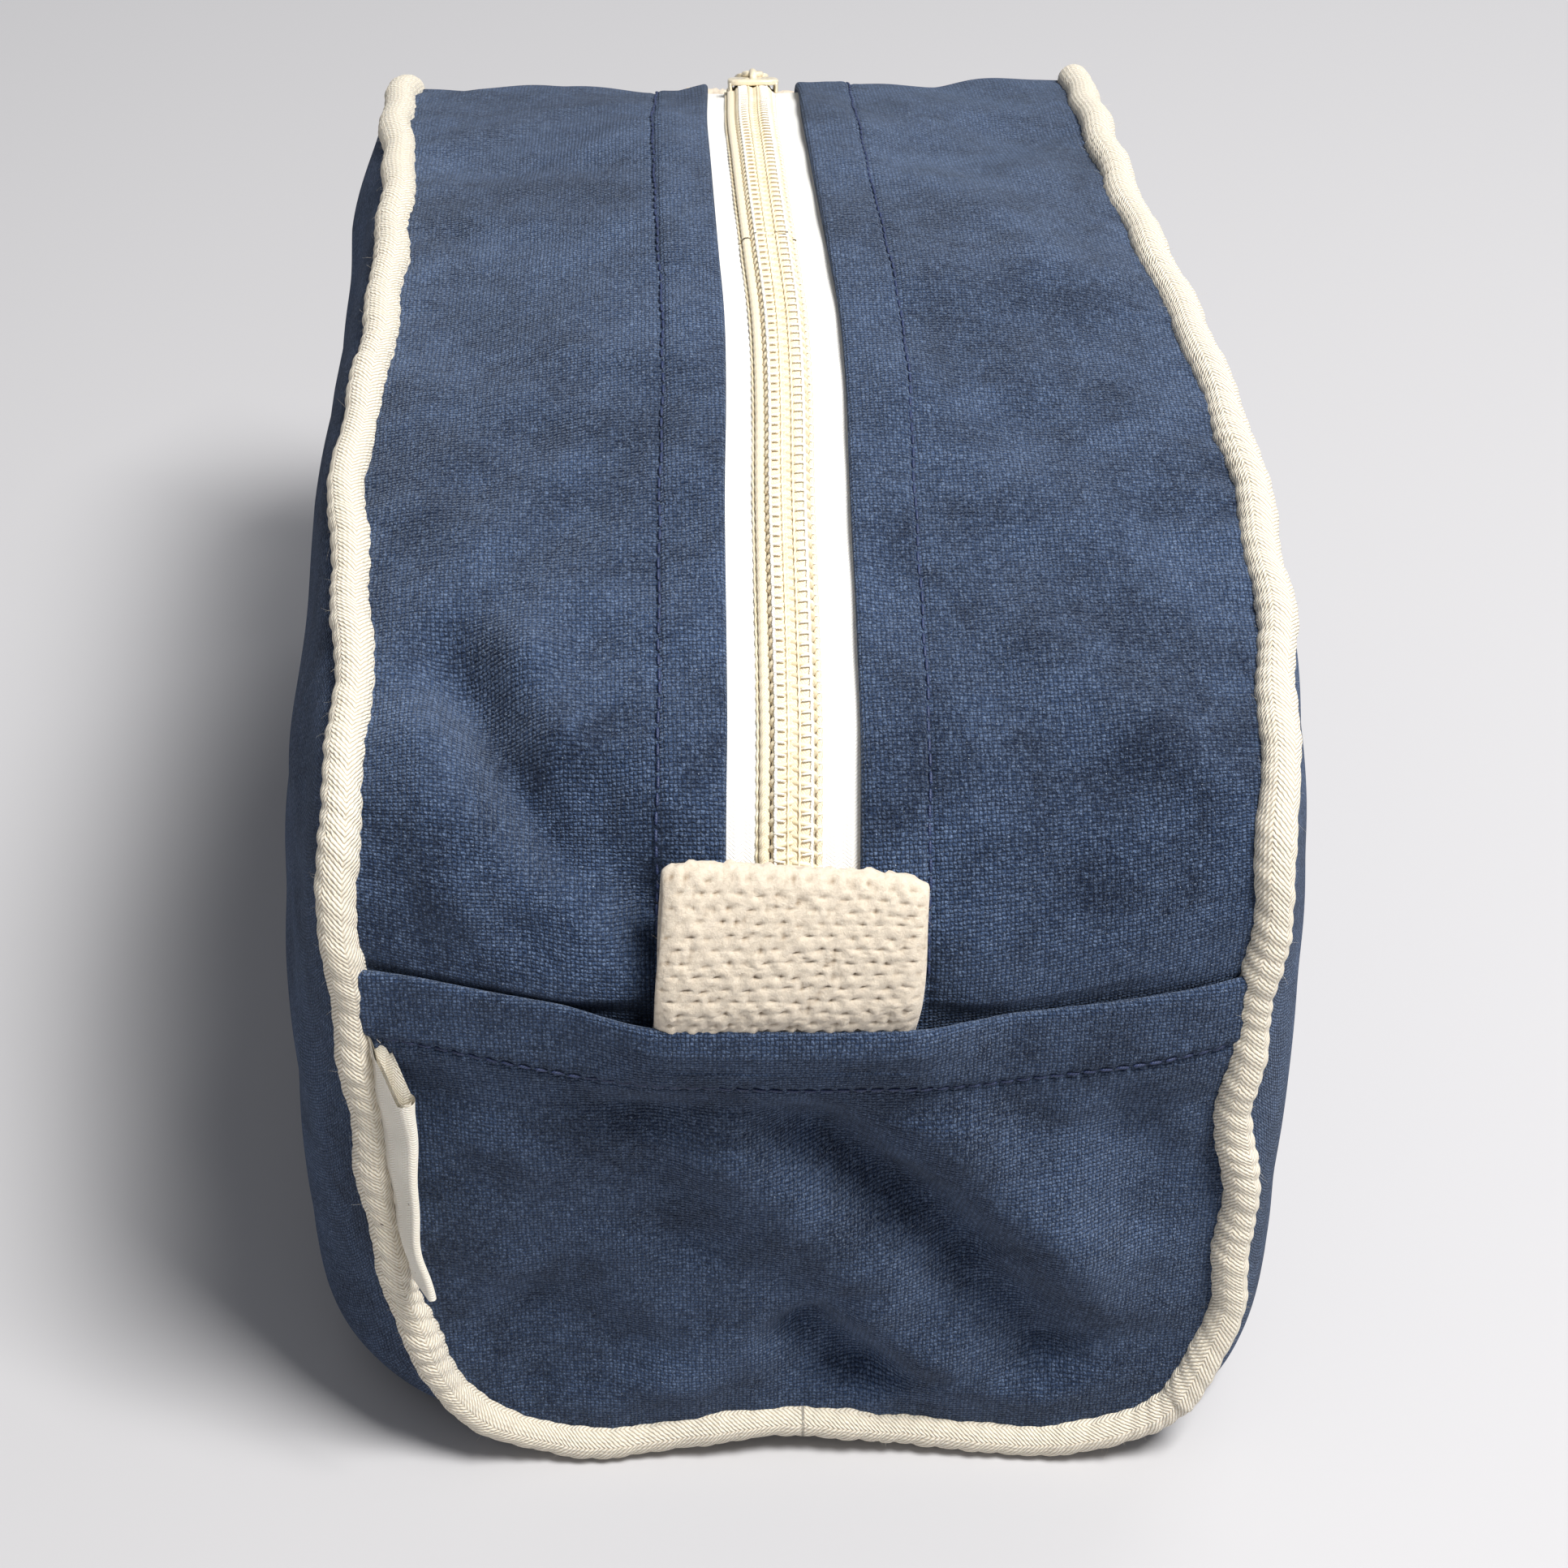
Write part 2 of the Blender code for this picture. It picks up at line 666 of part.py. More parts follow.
def arc_points(depth, radius):
    return [(depth + radius * sin(pi * i / 6), -radius * cos(pi * i / 6)) for i in range(1, 6)]


# ---------------------------------------------------------------- slider and puller

def make_slider():
    """Top and bottom plates joined by a wedge, with side flanges that close round the teeth."""
    centre = Vector((0, 0, RIDGE_TOP - RIDGE_CROWN_RADIUS))
    track = empty("slider_track", centre, -SLIDER_PARK_ANGLE)
    rise = RIDGE_CROWN_RADIUS
    teeth_top = rise - CANVAS + CHAIN_HEIGHT
    tape_under = rise - CANVAS - GAP - TAPE
    top_low = teeth_top + CHAIN_PLAY
    bottom_high = tape_under - CHAIN_PLAY
    body = box("slider_body", (SLIDER_WIDTH, SLIDER_LENGTH, PLATE), (0, 0, top_low + PLATE / 2))
    bevel = body.modifiers.new("edges", "BEVEL")
    bevel.width = 0.0003
    parts = [
        ("bottom_plate", (SLIDER_WIDTH, SLIDER_LENGTH, PLATE), (0, 0, bottom_high - PLATE / 2)),
        (
            "wedge",
            (WEDGE_WIDTH, WEDGE_LENGTH, top_low - bottom_high + PLATE),
            (0, 0, (top_low + bottom_high) / 2),
        ),
    ]
    low = rise - CANVAS - GAP + CHAIN_PLAY
    for side in (LEFT, RIGHT):
        x = side * (SLIDER_WIDTH - FLANGE) / 2
        parts.append((f"flange_{side}", (FLANGE, SLIDER_LENGTH * 0.9, top_low + PLATE / 2 - low),
                      (x, 0, (top_low + PLATE / 2 + low) / 2)))
    for name, size, place in parts:
        combine(body, box(name, size, place, track), "UNION")
    top = top_low + PLATE
    pivot = top + PIVOT_HEIGHT
    legs = [Vector((0, -BRIDGE_RADIUS, top - PLATE / 2)), Vector((0, -BRIDGE_RADIUS, pivot))]
    legs += [Vector((0, -BRIDGE_RADIUS * cos(pi * i / 8), pivot + BRIDGE_RADIUS * sin(pi * i / 8)))
             for i in range(1, 8)]
    legs += [Vector((0, BRIDGE_RADIUS, pivot)), Vector((0, BRIDGE_RADIUS, top - PLATE / 2))]
    bridge = as_mesh(line("bridge", legs, BRIDGE_WIRE, 1))
    bridge.parent = track
    combine(body, bridge, "UNION")
    body.parent = track
    BAG.objects.link(body)
    body.data.materials.append(enamel_finish())

    hinge = empty("puller_pivot", (0, 0, pivot), -PULLER_DROOP, track)
    plate = box("puller", (PULLER_WIDTH, PULLER_LENGTH + 0.0006, PULLER),
                (0, (PULLER_LENGTH - 0.0006) / 2, 0), hinge)
    bevel = plate.modifiers.new("edges", "BEVEL")
    bevel.width = 0.0003
    hole = box("puller_hole", (0.0030, 0.0029, 0.004), (0, 0.0008 + 0.00145, 0), hinge)
    combine(plate, hole, "DIFFERENCE")
    BAG.objects.link(plate)
    plate.data.materials.append(enamel_finish())


make_canvas()
make_lining()
make_piping()
make_threads()
make_tab("end_tab_front", FRONT)
make_tab("end_tab_rear", REAR)
make_label()
make_slider()
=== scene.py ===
"""A navy brushed-canvas wash bag with natural cotton piping, a long zip and webbing tabs."""

from math import asin, cos, pi, radians, sin, sqrt

import bpy
import numpy as np
from mathutils import Matrix, Vector


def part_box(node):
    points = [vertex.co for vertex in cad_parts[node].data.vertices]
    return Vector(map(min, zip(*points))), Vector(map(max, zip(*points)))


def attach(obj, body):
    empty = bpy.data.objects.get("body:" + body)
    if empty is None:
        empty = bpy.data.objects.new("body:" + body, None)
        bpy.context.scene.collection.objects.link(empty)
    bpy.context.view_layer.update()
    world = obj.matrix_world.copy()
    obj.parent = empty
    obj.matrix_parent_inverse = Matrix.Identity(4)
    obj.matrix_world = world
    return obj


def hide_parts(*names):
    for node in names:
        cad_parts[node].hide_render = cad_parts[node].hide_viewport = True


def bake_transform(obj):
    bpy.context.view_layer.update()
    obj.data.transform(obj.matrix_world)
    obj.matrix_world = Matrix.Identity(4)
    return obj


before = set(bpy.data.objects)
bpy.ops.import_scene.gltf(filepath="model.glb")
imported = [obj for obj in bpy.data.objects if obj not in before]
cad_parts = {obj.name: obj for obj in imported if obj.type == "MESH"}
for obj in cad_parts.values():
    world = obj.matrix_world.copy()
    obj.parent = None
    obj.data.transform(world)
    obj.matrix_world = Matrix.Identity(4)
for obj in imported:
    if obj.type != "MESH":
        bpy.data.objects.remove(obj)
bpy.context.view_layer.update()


# The table and the light. A pale matt sweep, one large soft light from the upper right, a weaker one
# from behind on the right and a soft sky. The camera looks down on the front end.
floor_mesh = bpy.data.meshes.new("table")
floor_mesh.from_pydata([(-6, -6, 0), (6, -6, 0), (6, 6, 0), (-6, 6, 0)], [], [(0, 1, 2, 3)])
table = bpy.data.objects.new("table", floor_mesh)
bpy.context.scene.collection.objects.link(table)
table_paper = bpy.data.materials.new("pale_paper")
table_paper.use_nodes = True
paper = table_paper.node_tree.nodes["Principled BSDF"]
paper.inputs["Base Color"].default_value = (0.535, 0.53, 0.545, 1)
paper.inputs["Roughness"].default_value = 0.9
paper.inputs["Specular IOR Level"].default_value = 0.2
table.data.materials.append(table_paper)


def soft_light(name, place, aim, size, watts, colour):
    lamp = bpy.data.lights.new(name, "AREA")
    lamp.shape = "RECTANGLE"
    lamp.size, lamp.size_y = size
    lamp.energy = watts
    lamp.color = colour
    holder = bpy.data.objects.new(name, lamp)
    holder.location = place
    holder.rotation_euler = (Vector(aim) - Vector(place)).to_track_quat("-Z", "Y").to_euler()
    bpy.context.scene.collection.objects.link(holder)


soft_light("window", (0.50, -0.46, 1.42), (0, 0, 0.05), (0.46, 0.46), 33, (1.0, 0.988, 0.962))
soft_light("back_card", (0.9, 1.2, 1.2), (0, 0, 0), (1.0, 0.8), 6, (0.98, 0.99, 1.0))
sky = bpy.data.worlds.new("studio")
sky.use_nodes = True
sky.node_tree.nodes["Background"].inputs["Color"].default_value = (0.93, 0.95, 1.0, 1)
sky.node_tree.nodes["Background"].inputs["Strength"].default_value = 0.27
bpy.context.scene.world = sky
bpy.context.scene.view_settings.view_transform = "Standard"

camera = bpy.data.objects.new("camera", bpy.data.cameras.new("camera"))
bpy.context.scene.collection.objects.link(camera)
camera.data.lens = 71.41
camera.data.sensor_width = 36
camera.data.clip_start = 0.02
heading, tilt, roll = 0.04522, 0.66596, 0.01042
ahead = Vector((sin(heading) * cos(tilt), cos(heading) * cos(tilt), -sin(tilt)))
level = Vector((cos(heading), -sin(heading), 0))
upright = level.cross(ahead)
right = level * cos(roll) + upright * sin(roll)
top = upright * cos(roll) - level * sin(roll)
camera.matrix_world = Matrix((right, top, -ahead)).transposed().to_4x4()
camera.location = (-0.02043, -0.48139, 0.42078)
bpy.context.scene.camera = camera


# The body panel: one strip of navy brushed canvas that makes both sides and the base. It bulges past the
# piping on both sides, lies flat on the table, and is sewn all round into the piped seam.
SEAM_HALF = 0.070
SEAM_TOP, SEAM_FOOT = 0.154, 0.0042
CROWN_HALF = 0.110
CORNER = 0.032
BULGE = {-1: 0.0150, 1: 0.0125}


class SideLine:
    """Half of a side view: a shallow crown to station 1, a shoulder to 2, an upright face to 3."""

    def __init__(self, height, crown, shoulder, foot, foot_reach=None):
        self.height, self.crown, self.shoulder, self.foot = height, crown, shoulder, foot
        self.slope = asin(CROWN_HALF / crown)
        self.knee = (crown - shoulder) * sin(self.slope)
        self.knee_height = height - crown + (crown - shoulder) * cos(self.slope)
        self.reach = self.knee + shoulder
        self.foot_reach = foot_reach or self.reach

    def at(self, station, lift=0.0):
        """(reach from the middle, height) for an array of stations, lifted off the line."""
        s = np.abs(station)
        flat = np.clip(s, 0, 1) * self.slope
        bend = self.slope + np.clip(s - 1, 0, 1) * (pi / 2 - self.slope)
        fall = np.clip(s - 2, 0, 2)
        reach = np.where(s < 1, (self.crown + lift) * np.sin(flat), self.knee + (self.shoulder + lift) * np.sin(bend))
        high = np.where(
            s < 1,
            self.height - self.crown + (self.crown + lift) * np.cos(flat),
            self.knee_height + (self.shoulder + lift) * np.cos(bend),
        )
        reach = reach + (self.foot_reach - self.reach) * fall**3
        high = high + (self.foot - self.knee_height) * fall
        return reach, high

    def station(self, length):
        """Station of a distance along the line from the middle of the crown."""
        crown, bend = self.crown * self.slope, self.shoulder * (pi / 2 - self.slope)
        length = np.abs(length)
        face = self.knee_height - self.foot
        return np.where(
            length < crown,
            length / crown,
            np.where(length < crown + bend, 1 + (length - crown) / bend, 2 + (length - crown - bend) / face),
        )


seam_side = SideLine(SEAM_TOP, 0.380, 0.028, SEAM_FOOT)
ridge_side = SideLine(0.162, 0.265, 0.042, SEAM_FOOT, seam_side.reach)
FOOT_RUN, CORNER_RUN = SEAM_HALF - CORNER, CORNER * pi / 2
FACE_RUN = seam_side.knee_height - SEAM_FOOT - CORNER
BEND_RUN = seam_side.shoulder * (pi / 2 - seam_side.slope)
CROWN_RUN = seam_side.crown * seam_side.slope
HALF_LOOP = 2 * (FOOT_RUN + CORNER_RUN + FACE_RUN + BEND_RUN + CROWN_RUN)


def flowing(knots):
    """A smooth curve through (place, value) knots, as a function of an array of places."""
    x, y = np.array(knots, float).T
    slope = np.gradient(y, x)

    def value(t):
        t = np.clip(t, x[0], x[-1])
        i = np.clip(np.searchsorted(x, t) - 1, 0, len(x) - 2)
        h = x[i + 1] - x[i]
        u = (t - x[i]) / h
        return (
            y[i] * (1 + 2 * u) * (1 - u) ** 2
            + slope[i] * h * u * (1 - u) ** 2
            + y[i + 1] * u * u * (3 - 2 * u)
            + slope[i + 1] * h * u * u * (u - 1)
        )

    return value


# How the sewn seam wanders from its pattern, in millimetres, by distance from the middle of the front foot.
wander_x = {
    -1: flowing([
        (0, 0), (38, 0), (70, 3.6), (85, 5.2), (95, 3.4), (105, 2.3), (115, 1.6), (135, 0.7), (150, 0.1),
        (162, -0.5), (185, -0.3), (203, 1.1), (215, 0.8), (230, -0.2), (248, -1.8), (262, -1.5), (280, 0.1),
        (300, 0.9), (340, 0.8), (362, 0.2), (384, -2), (420, -3), (450, -2), (500, 0), (620, 0),
    ]),
    1: flowing([
        (0, 0), (38, 0), (60, 2), (75, 0.6), (95, 0), (112, -0.2), (121, -1.5), (130, -2.6), (140, -1.9),
        (152, -1.2), (165, -0.5), (182, 0.2), (197, 1.3), (208, 2.5), (219, 3.5), (235, 3.6), (253, 3.1),
        (267, 1.8), (280, 0.5), (303, -2.2), (318, -4.1), (335, -5.5), (384, -6.1), (420, -5), (450, -3),
        (500, -1), (620, 0),
    ]),
}
wander_y = {
    -1: flowing([(0, 0), (30, -1.0), (60, -1.0), (85, 0), (530, 0), (620, 0)]),
    1: flowing([(0, 0), (25, -1.5), (45, -3.6), (62, -3.4), (80, -1.0), (100, 0), (530, 0), (620, 0)]),
}
wander_z = {
    -1: flowing([
        (-8, 1.95), (0, 2.2), (8, 1.95), (14, 1.2), (25, -0.1), (36, -0.9), (50, 0), (70, 1.8), (90, 0.5),
        (120, 0), (620, 0.8),
    ]),
    1: flowing([
        (-8, 1.9), (0, 2.2), (8, 1.6), (14, 0.6), (20, -0.2), (30, -0.7), (45, -0.9), (60, -1.3), (80, 0),
        (120, 0), (620, 0.8),
    ]),
}


def seam_shift(side, run):
    mm = np.abs(run) * 1000
    return np.stack([wander_x[side](mm), wander_y[side](mm), wander_z[side](mm)], -1) / 1000


def seam_line(side, run):
    """(points, directions into the zip strip, directions into the body) by distance from the front foot."""
    run = np.asarray(run, float)
    back = run > HALF_LOOP / 2
    r = np.where(back, HALF_LOOP - run, run)
    end = np.where(back, 1.0, -1.0)
    turn = np.clip((r - FOOT_RUN) / CORNER, 0, pi / 2)
    climb = r - FOOT_RUN - CORNER_RUN
    rise = np.clip(climb, 0, FACE_RUN)
    station = seam_side.station(np.clip(HALF_LOOP / 2 - r, 0, CROWN_RUN + BEND_RUN))
    reach, high = seam_side.at(station)
    angle = np.where(station < 1, station * seam_side.slope,
                     seam_side.slope + (station - 1) * (pi / 2 - seam_side.slope))
    low = climb < FACE_RUN
    x = np.clip(r, 0, FOOT_RUN) + CORNER * np.sin(turn)
    z = np.where(low, SEAM_FOOT + CORNER * (1 - np.cos(turn)) + rise, high)
    y = end * np.where(low, seam_side.reach, reach)
    points = np.stack([side * x, y, z], -1) + seam_shift(side, run)
    strip = np.stack([-side * np.sin(turn), 0 * r, np.cos(turn)], -1)
    body = np.where(
        low[..., None],
        np.stack([0 * r, -end, 0 * r], -1),
        np.stack([0 * r, -end * np.sin(angle), -np.cos(angle)], -1),
    )
    return points, strip, body


def ripples(points, seed, wave, depth, count=14):
    """Soft unevenness: a seeded sum of plane waves of about this wavelength, in metres."""
    rng = np.random.default_rng(seed)
    total = np.zeros(points.shape[:-1])
    for _ in range(count):
        way = rng.normal(size=3)
        way *= 2 * pi / (wave * rng.uniform(0.6, 1.6)) / np.linalg.norm(way)
        total += np.sin(points @ way + rng.uniform(0, 2 * pi))
    return total * depth / sqrt(count / 2)


def creased(x, y, folds):
    """Height of a set of folds over flat cloth coordinates: each is (x0, y0, x1, y1, width, height)."""
    total = np.zeros(np.broadcast(x, y).shape)
    for x0, y0, x1, y1, width, height in folds:
        dx, dy = x1 - x0, y1 - y0
        length = sqrt(dx * dx + dy * dy)
        along = ((x - x0) * dx + (y - y0) * dy) / length
        off = ((x - x0) * dy - (y - y0) * dx) / length
        taper = np.clip(np.minimum(along, length - along) / (0.35 * length) + 0.35, 0, 1)
        reach = np.exp(-np.maximum(0, np.maximum(-along, along - length)) ** 2 / (2 * width**2))
        total += height * np.exp(-(off**2) / (2 * width**2)) * (taper**2 * (3 - 2 * taper)) * reach
    return total


def unit(v):
    return v / np.maximum(np.linalg.norm(v, axis=-1, keepdims=True), 1e-12)


def grid_normals(points):
    return unit(np.cross(np.gradient(points, axis=1), np.gradient(points, axis=0)))


def length_along(line):
    """Distance of each point of a line from its start."""
    return np.concatenate([[0], np.cumsum(np.linalg.norm(np.diff(line, axis=0), axis=1))])


def grid_piece(name, points, flat, finish, ring=(False, False), outward=None, every=0):
    """A mesh over a grid of points. flat gives each point's place on the flat cloth, in millimetres.
    With every set, each run of that many rows is a separate strip."""
    rows, columns = points.shape[:2]
    index = np.arange(rows * columns).reshape(rows, columns)
    if ring[0]:
        index = np.vstack([index, index[:1]])
    if ring[1]:
        index = np.hstack([index, index[:, :1]])
    quads = np.stack([index[:-1, :-1], index[:-1, 1:], index[1:, 1:], index[1:, :-1]], -1)
    if every:
        quads = quads[np.arange(1, len(quads) + 1) % every > 0]
    quads = quads.reshape(-1, 4)
    if outward is not None and np.sum(grid_normals(points) * outward) < 0:
        quads = quads[:, ::-1]
    mesh = bpy.data.meshes.new(name)
    mesh.vertices.add(rows * columns)
    mesh.vertices.foreach_set("co", points.astype(np.float32).ravel())
    mesh.loops.add(quads.size)
    mesh.loops.foreach_set("vertex_index", quads.astype(np.int32).ravel())
    mesh.polygons.add(len(quads))
    mesh.polygons.foreach_set("loop_start", np.arange(0, quads.size, 4, dtype=np.int32))
    mesh.update(calc_edges=True)
    layer = mesh.uv_layers.new(name="cloth")
    cloth_points = np.asarray(flat, np.float32).reshape(-1, 2)
    layer.data.foreach_set("uv", cloth_points[quads.ravel()].ravel())
    mesh.shade_smooth()
    mesh.materials.append(finish)
    piece = bpy.data.objects.new(name, mesh)
    bpy.context.scene.collection.objects.link(piece)
    return piece


class Shader:
    """A short way to lay down shader nodes in a material or in a node group."""

    def __init__(self, tree):
        self.tree = tree

    def node(self, kind, **settings):
        made = self.tree.nodes.new(("" if kind.startswith("Node") else "ShaderNode") + kind)
        for key, value in settings.items():
            setattr(made, key, value)
        return made

    def feed(self, socket, value):
        if isinstance(value, bpy.types.NodeSocket):
            self.tree.links.new(value, socket)
        elif value is not None:
            socket.default_value = value

    def math(self, operation, a, b=None, c=None):
        made = self.node("Math", operation=operation)
        for socket, value in zip(made.inputs, (a, b, c)):
            self.feed(socket, value)
        return made.outputs[0]

    def mix(self, share, a, b, blend="MIX"):
        made = self.node("Mix", data_type="RGBA", blend_type=blend)
        self.feed(made.inputs[0], share)
        self.feed(made.inputs[6], a)
        self.feed(made.inputs[7], b)
        return made.outputs[2]

    def noise(self, vector, scale, detail=2.0, rough=0.5, distort=0.0):
        made = self.node("TexNoise")
        self.feed(made.inputs["Vector"], vector)
        self.plain(made.inputs, {"Scale": scale, "Detail": detail, "Roughness": rough, "Distortion": distort})
        return made.outputs["Fac"]

    def plain(self, sockets, values):
        """Sets sockets that are the same all over the surface."""
        for label, value in values.items():
            sockets[label].default_value = value

    def bump(self, normal, height, strength, distance):
        made = self.node("Bump")
        self.plain(made.inputs, {"Strength": strength, "Distance": distance})
        self.feed(made.inputs["Height"], height)
        self.feed(normal, made.outputs[0])

    def total(self, *parts):
        """Sum of (value, weight) pairs."""
        sums = [self.math("MULTIPLY", value, weight) for value, weight in parts]
        while len(sums) > 1:
            sums[:2] = [self.math("ADD", sums[0], sums[1])]
        return sums[0]

    def split(self, vector):
        made = self.node("SeparateXYZ")
        self.feed(made.inputs[0], vector)
        return made.outputs

    def span(self, value, low, high, to_low=0.0, to_high=1.0):
        made = self.node("MapRange")
        for i, v in enumerate((value, low, high, to_low, to_high)):
            self.feed(made.inputs[i], v)
        return made.outputs[0]

    def group(self, tree, **values):
        made = self.node("Group")
        made.node_tree = tree
        for key, value in values.items():
            self.feed(made.inputs[key.replace("_", " ").capitalize()], value)
        return made


def node_group(name, inputs, outputs):
    """A node group with named sockets: (name, type, default) in, (name, type) out."""
    tree = bpy.data.node_groups.new(name, "ShaderNodeTree")
    for label, kind, default in inputs:
        socket = tree.interface.new_socket(label, in_out="INPUT", socket_type="NodeSocket" + kind)
        if default is not None:
            socket.default_value = default
    for label, kind in outputs:
        tree.interface.new_socket(label, in_out="OUTPUT", socket_type="NodeSocket" + kind)
    shader = Shader(tree)
    return tree, shader, shader.node("NodeGroupInput").outputs, shader.node("NodeGroupOutput").inputs


def weave_group():
    """Plain weave: round threads going over and under each other, from flat cloth coordinates."""
    tree, sh, given, out = node_group(
        "plain_weave",
        [("Cloth", "Vector", None), ("Pitch", "Float", 0.64), ("Wobble", "Float", 0.25)],
        [("Height", "Float")],
    )
    bend = sh.node("TexNoise", noise_dimensions="2D")
    sh.feed(bend.inputs["Vector"], given["Cloth"])
    sh.plain(bend.inputs, {"Scale": 0.9, "Detail": 2.0})
    away = sh.node("VectorMath", operation="SUBTRACT")
    sh.feed(away.inputs[0], bend.outputs["Color"])
    away.inputs[1].default_value = (0.5, 0.5, 0.5)
    push = sh.node("VectorMath", operation="SCALE")
    sh.feed(push.inputs[0], away.outputs[0])
    sh.feed(push.inputs["Scale"], given["Wobble"])
    placed = sh.node("VectorMath", operation="ADD")
    sh.feed(placed.inputs[0], given["Cloth"])
    sh.feed(placed.inputs[1], push.outputs[0])
    across, along = sh.split(placed.outputs[0])[:2]
    u = sh.math("DIVIDE", across, given["Pitch"])
    v = sh.math("DIVIDE", along, given["Pitch"])
    wave_u = sh.math("SINE", sh.math("MULTIPLY", u, pi))
    wave_v = sh.math("SINE", sh.math("MULTIPLY", v, pi))
    over = sh.math("MULTIPLY", wave_u, wave_v)
    round_u, round_v = sh.math("ABSOLUTE", wave_u), sh.math("ABSOLUTE", wave_v)
    side = sh.math("GREATER_THAN", over, 0.0)
    warp = sh.math("MULTIPLY", sh.math("POWER", round_u, 0.5), round_v)
    weft = sh.math("MULTIPLY", sh.math("POWER", round_v, 0.5), round_u)
    sh.feed(out["Height"], sh.math("ADD", sh.math("MULTIPLY", side, warp),
                                   sh.math("MULTIPLY", sh.math("SUBTRACT", 1.0, side), weft)))
    return tree


plain_weave = weave_group()


def new_finish(name):
    made = bpy.data.materials.new(name)
    made.use_nodes = True
    return made, Shader(made.node_tree), made.node_tree.nodes["Principled BSDF"].inputs


def cloth_place(sh):
    """(flat cloth coordinates in millimetres, position in metres)."""
    flat = sh.node("UVMap", uv_map="cloth")
    return flat.outputs[0], sh.node("TexCoord").outputs["Object"]


def canvas_finish(name):
    """Navy cotton canvas, brushed to a short nap: cloudy tone, a faint weave with painted shade between its threads,
    and pale flecks that are partly paler fibre and partly a painted highlight on the nap.
    """
    made, sh, skin = new_finish(name)
    flat, place = cloth_place(sh)
    weave = sh.group(plain_weave, cloth=flat, pitch=0.66, wobble=0.55).outputs
    clouds = sh.noise(place, 30, 4, 0.62, 0.5)
    patches = sh.noise(place, 110, 4, 0.66, 0.3)
    mottle = sh.noise(place, 520, 3, 0.75)
    fibre = sh.noise(place, 1700, 3, 0.8, 0.6)
    lint = sh.noise(place, 3100, 2, 0.6, 0.3)
    shade = sh.total((clouds, 0.42), (patches, 0.36), (mottle, 0.22))
    base = sh.mix(sh.span(shade, 0.42, 0.58), (0.0065, 0.0135, 0.036, 1), (0.034, 0.060, 0.126, 1))
    # Pale nap flecks: partly paler fibre, partly a painted highlight of brushed fibres catching the light.
    nap = sh.span(fibre, 0.46, 0.64)
    base = sh.mix(sh.math("MULTIPLY", nap, sh.span(shade, 0.36, 0.62, 0.30, 0.75)), base, (0.19, 0.265, 0.42, 1))
    # Painted shade: the low places between the weave's threads are darkened.
    base = sh.mix(sh.math("MULTIPLY", sh.span(weave["Height"], 0.05, 0.55, 1.0, 0.0), 0.85), base,
                  (0.005, 0.010, 0.024, 1))
    base = sh.mix(sh.span(lint, 0.70, 0.76), base, (0.40, 0.46, 0.55, 1))
    sh.feed(skin["Base Color"], base)
    sh.plain(skin, {"Roughness": 0.95, "Specular IOR Level": 0.12, "Sheen Weight": 0.22,
                    "Sheen Roughness": 0.5, "Sheen Tint": (0.60, 0.72, 0.95, 1)})
    height = sh.total((weave["Height"], 0.9), (fibre, 0.8), (mottle, 0.6))
    sh.bump(skin["Normal"], height, 1.0, 0.00034)
    return made


navy_canvas = canvas_finish("navy_brushed_canvas")


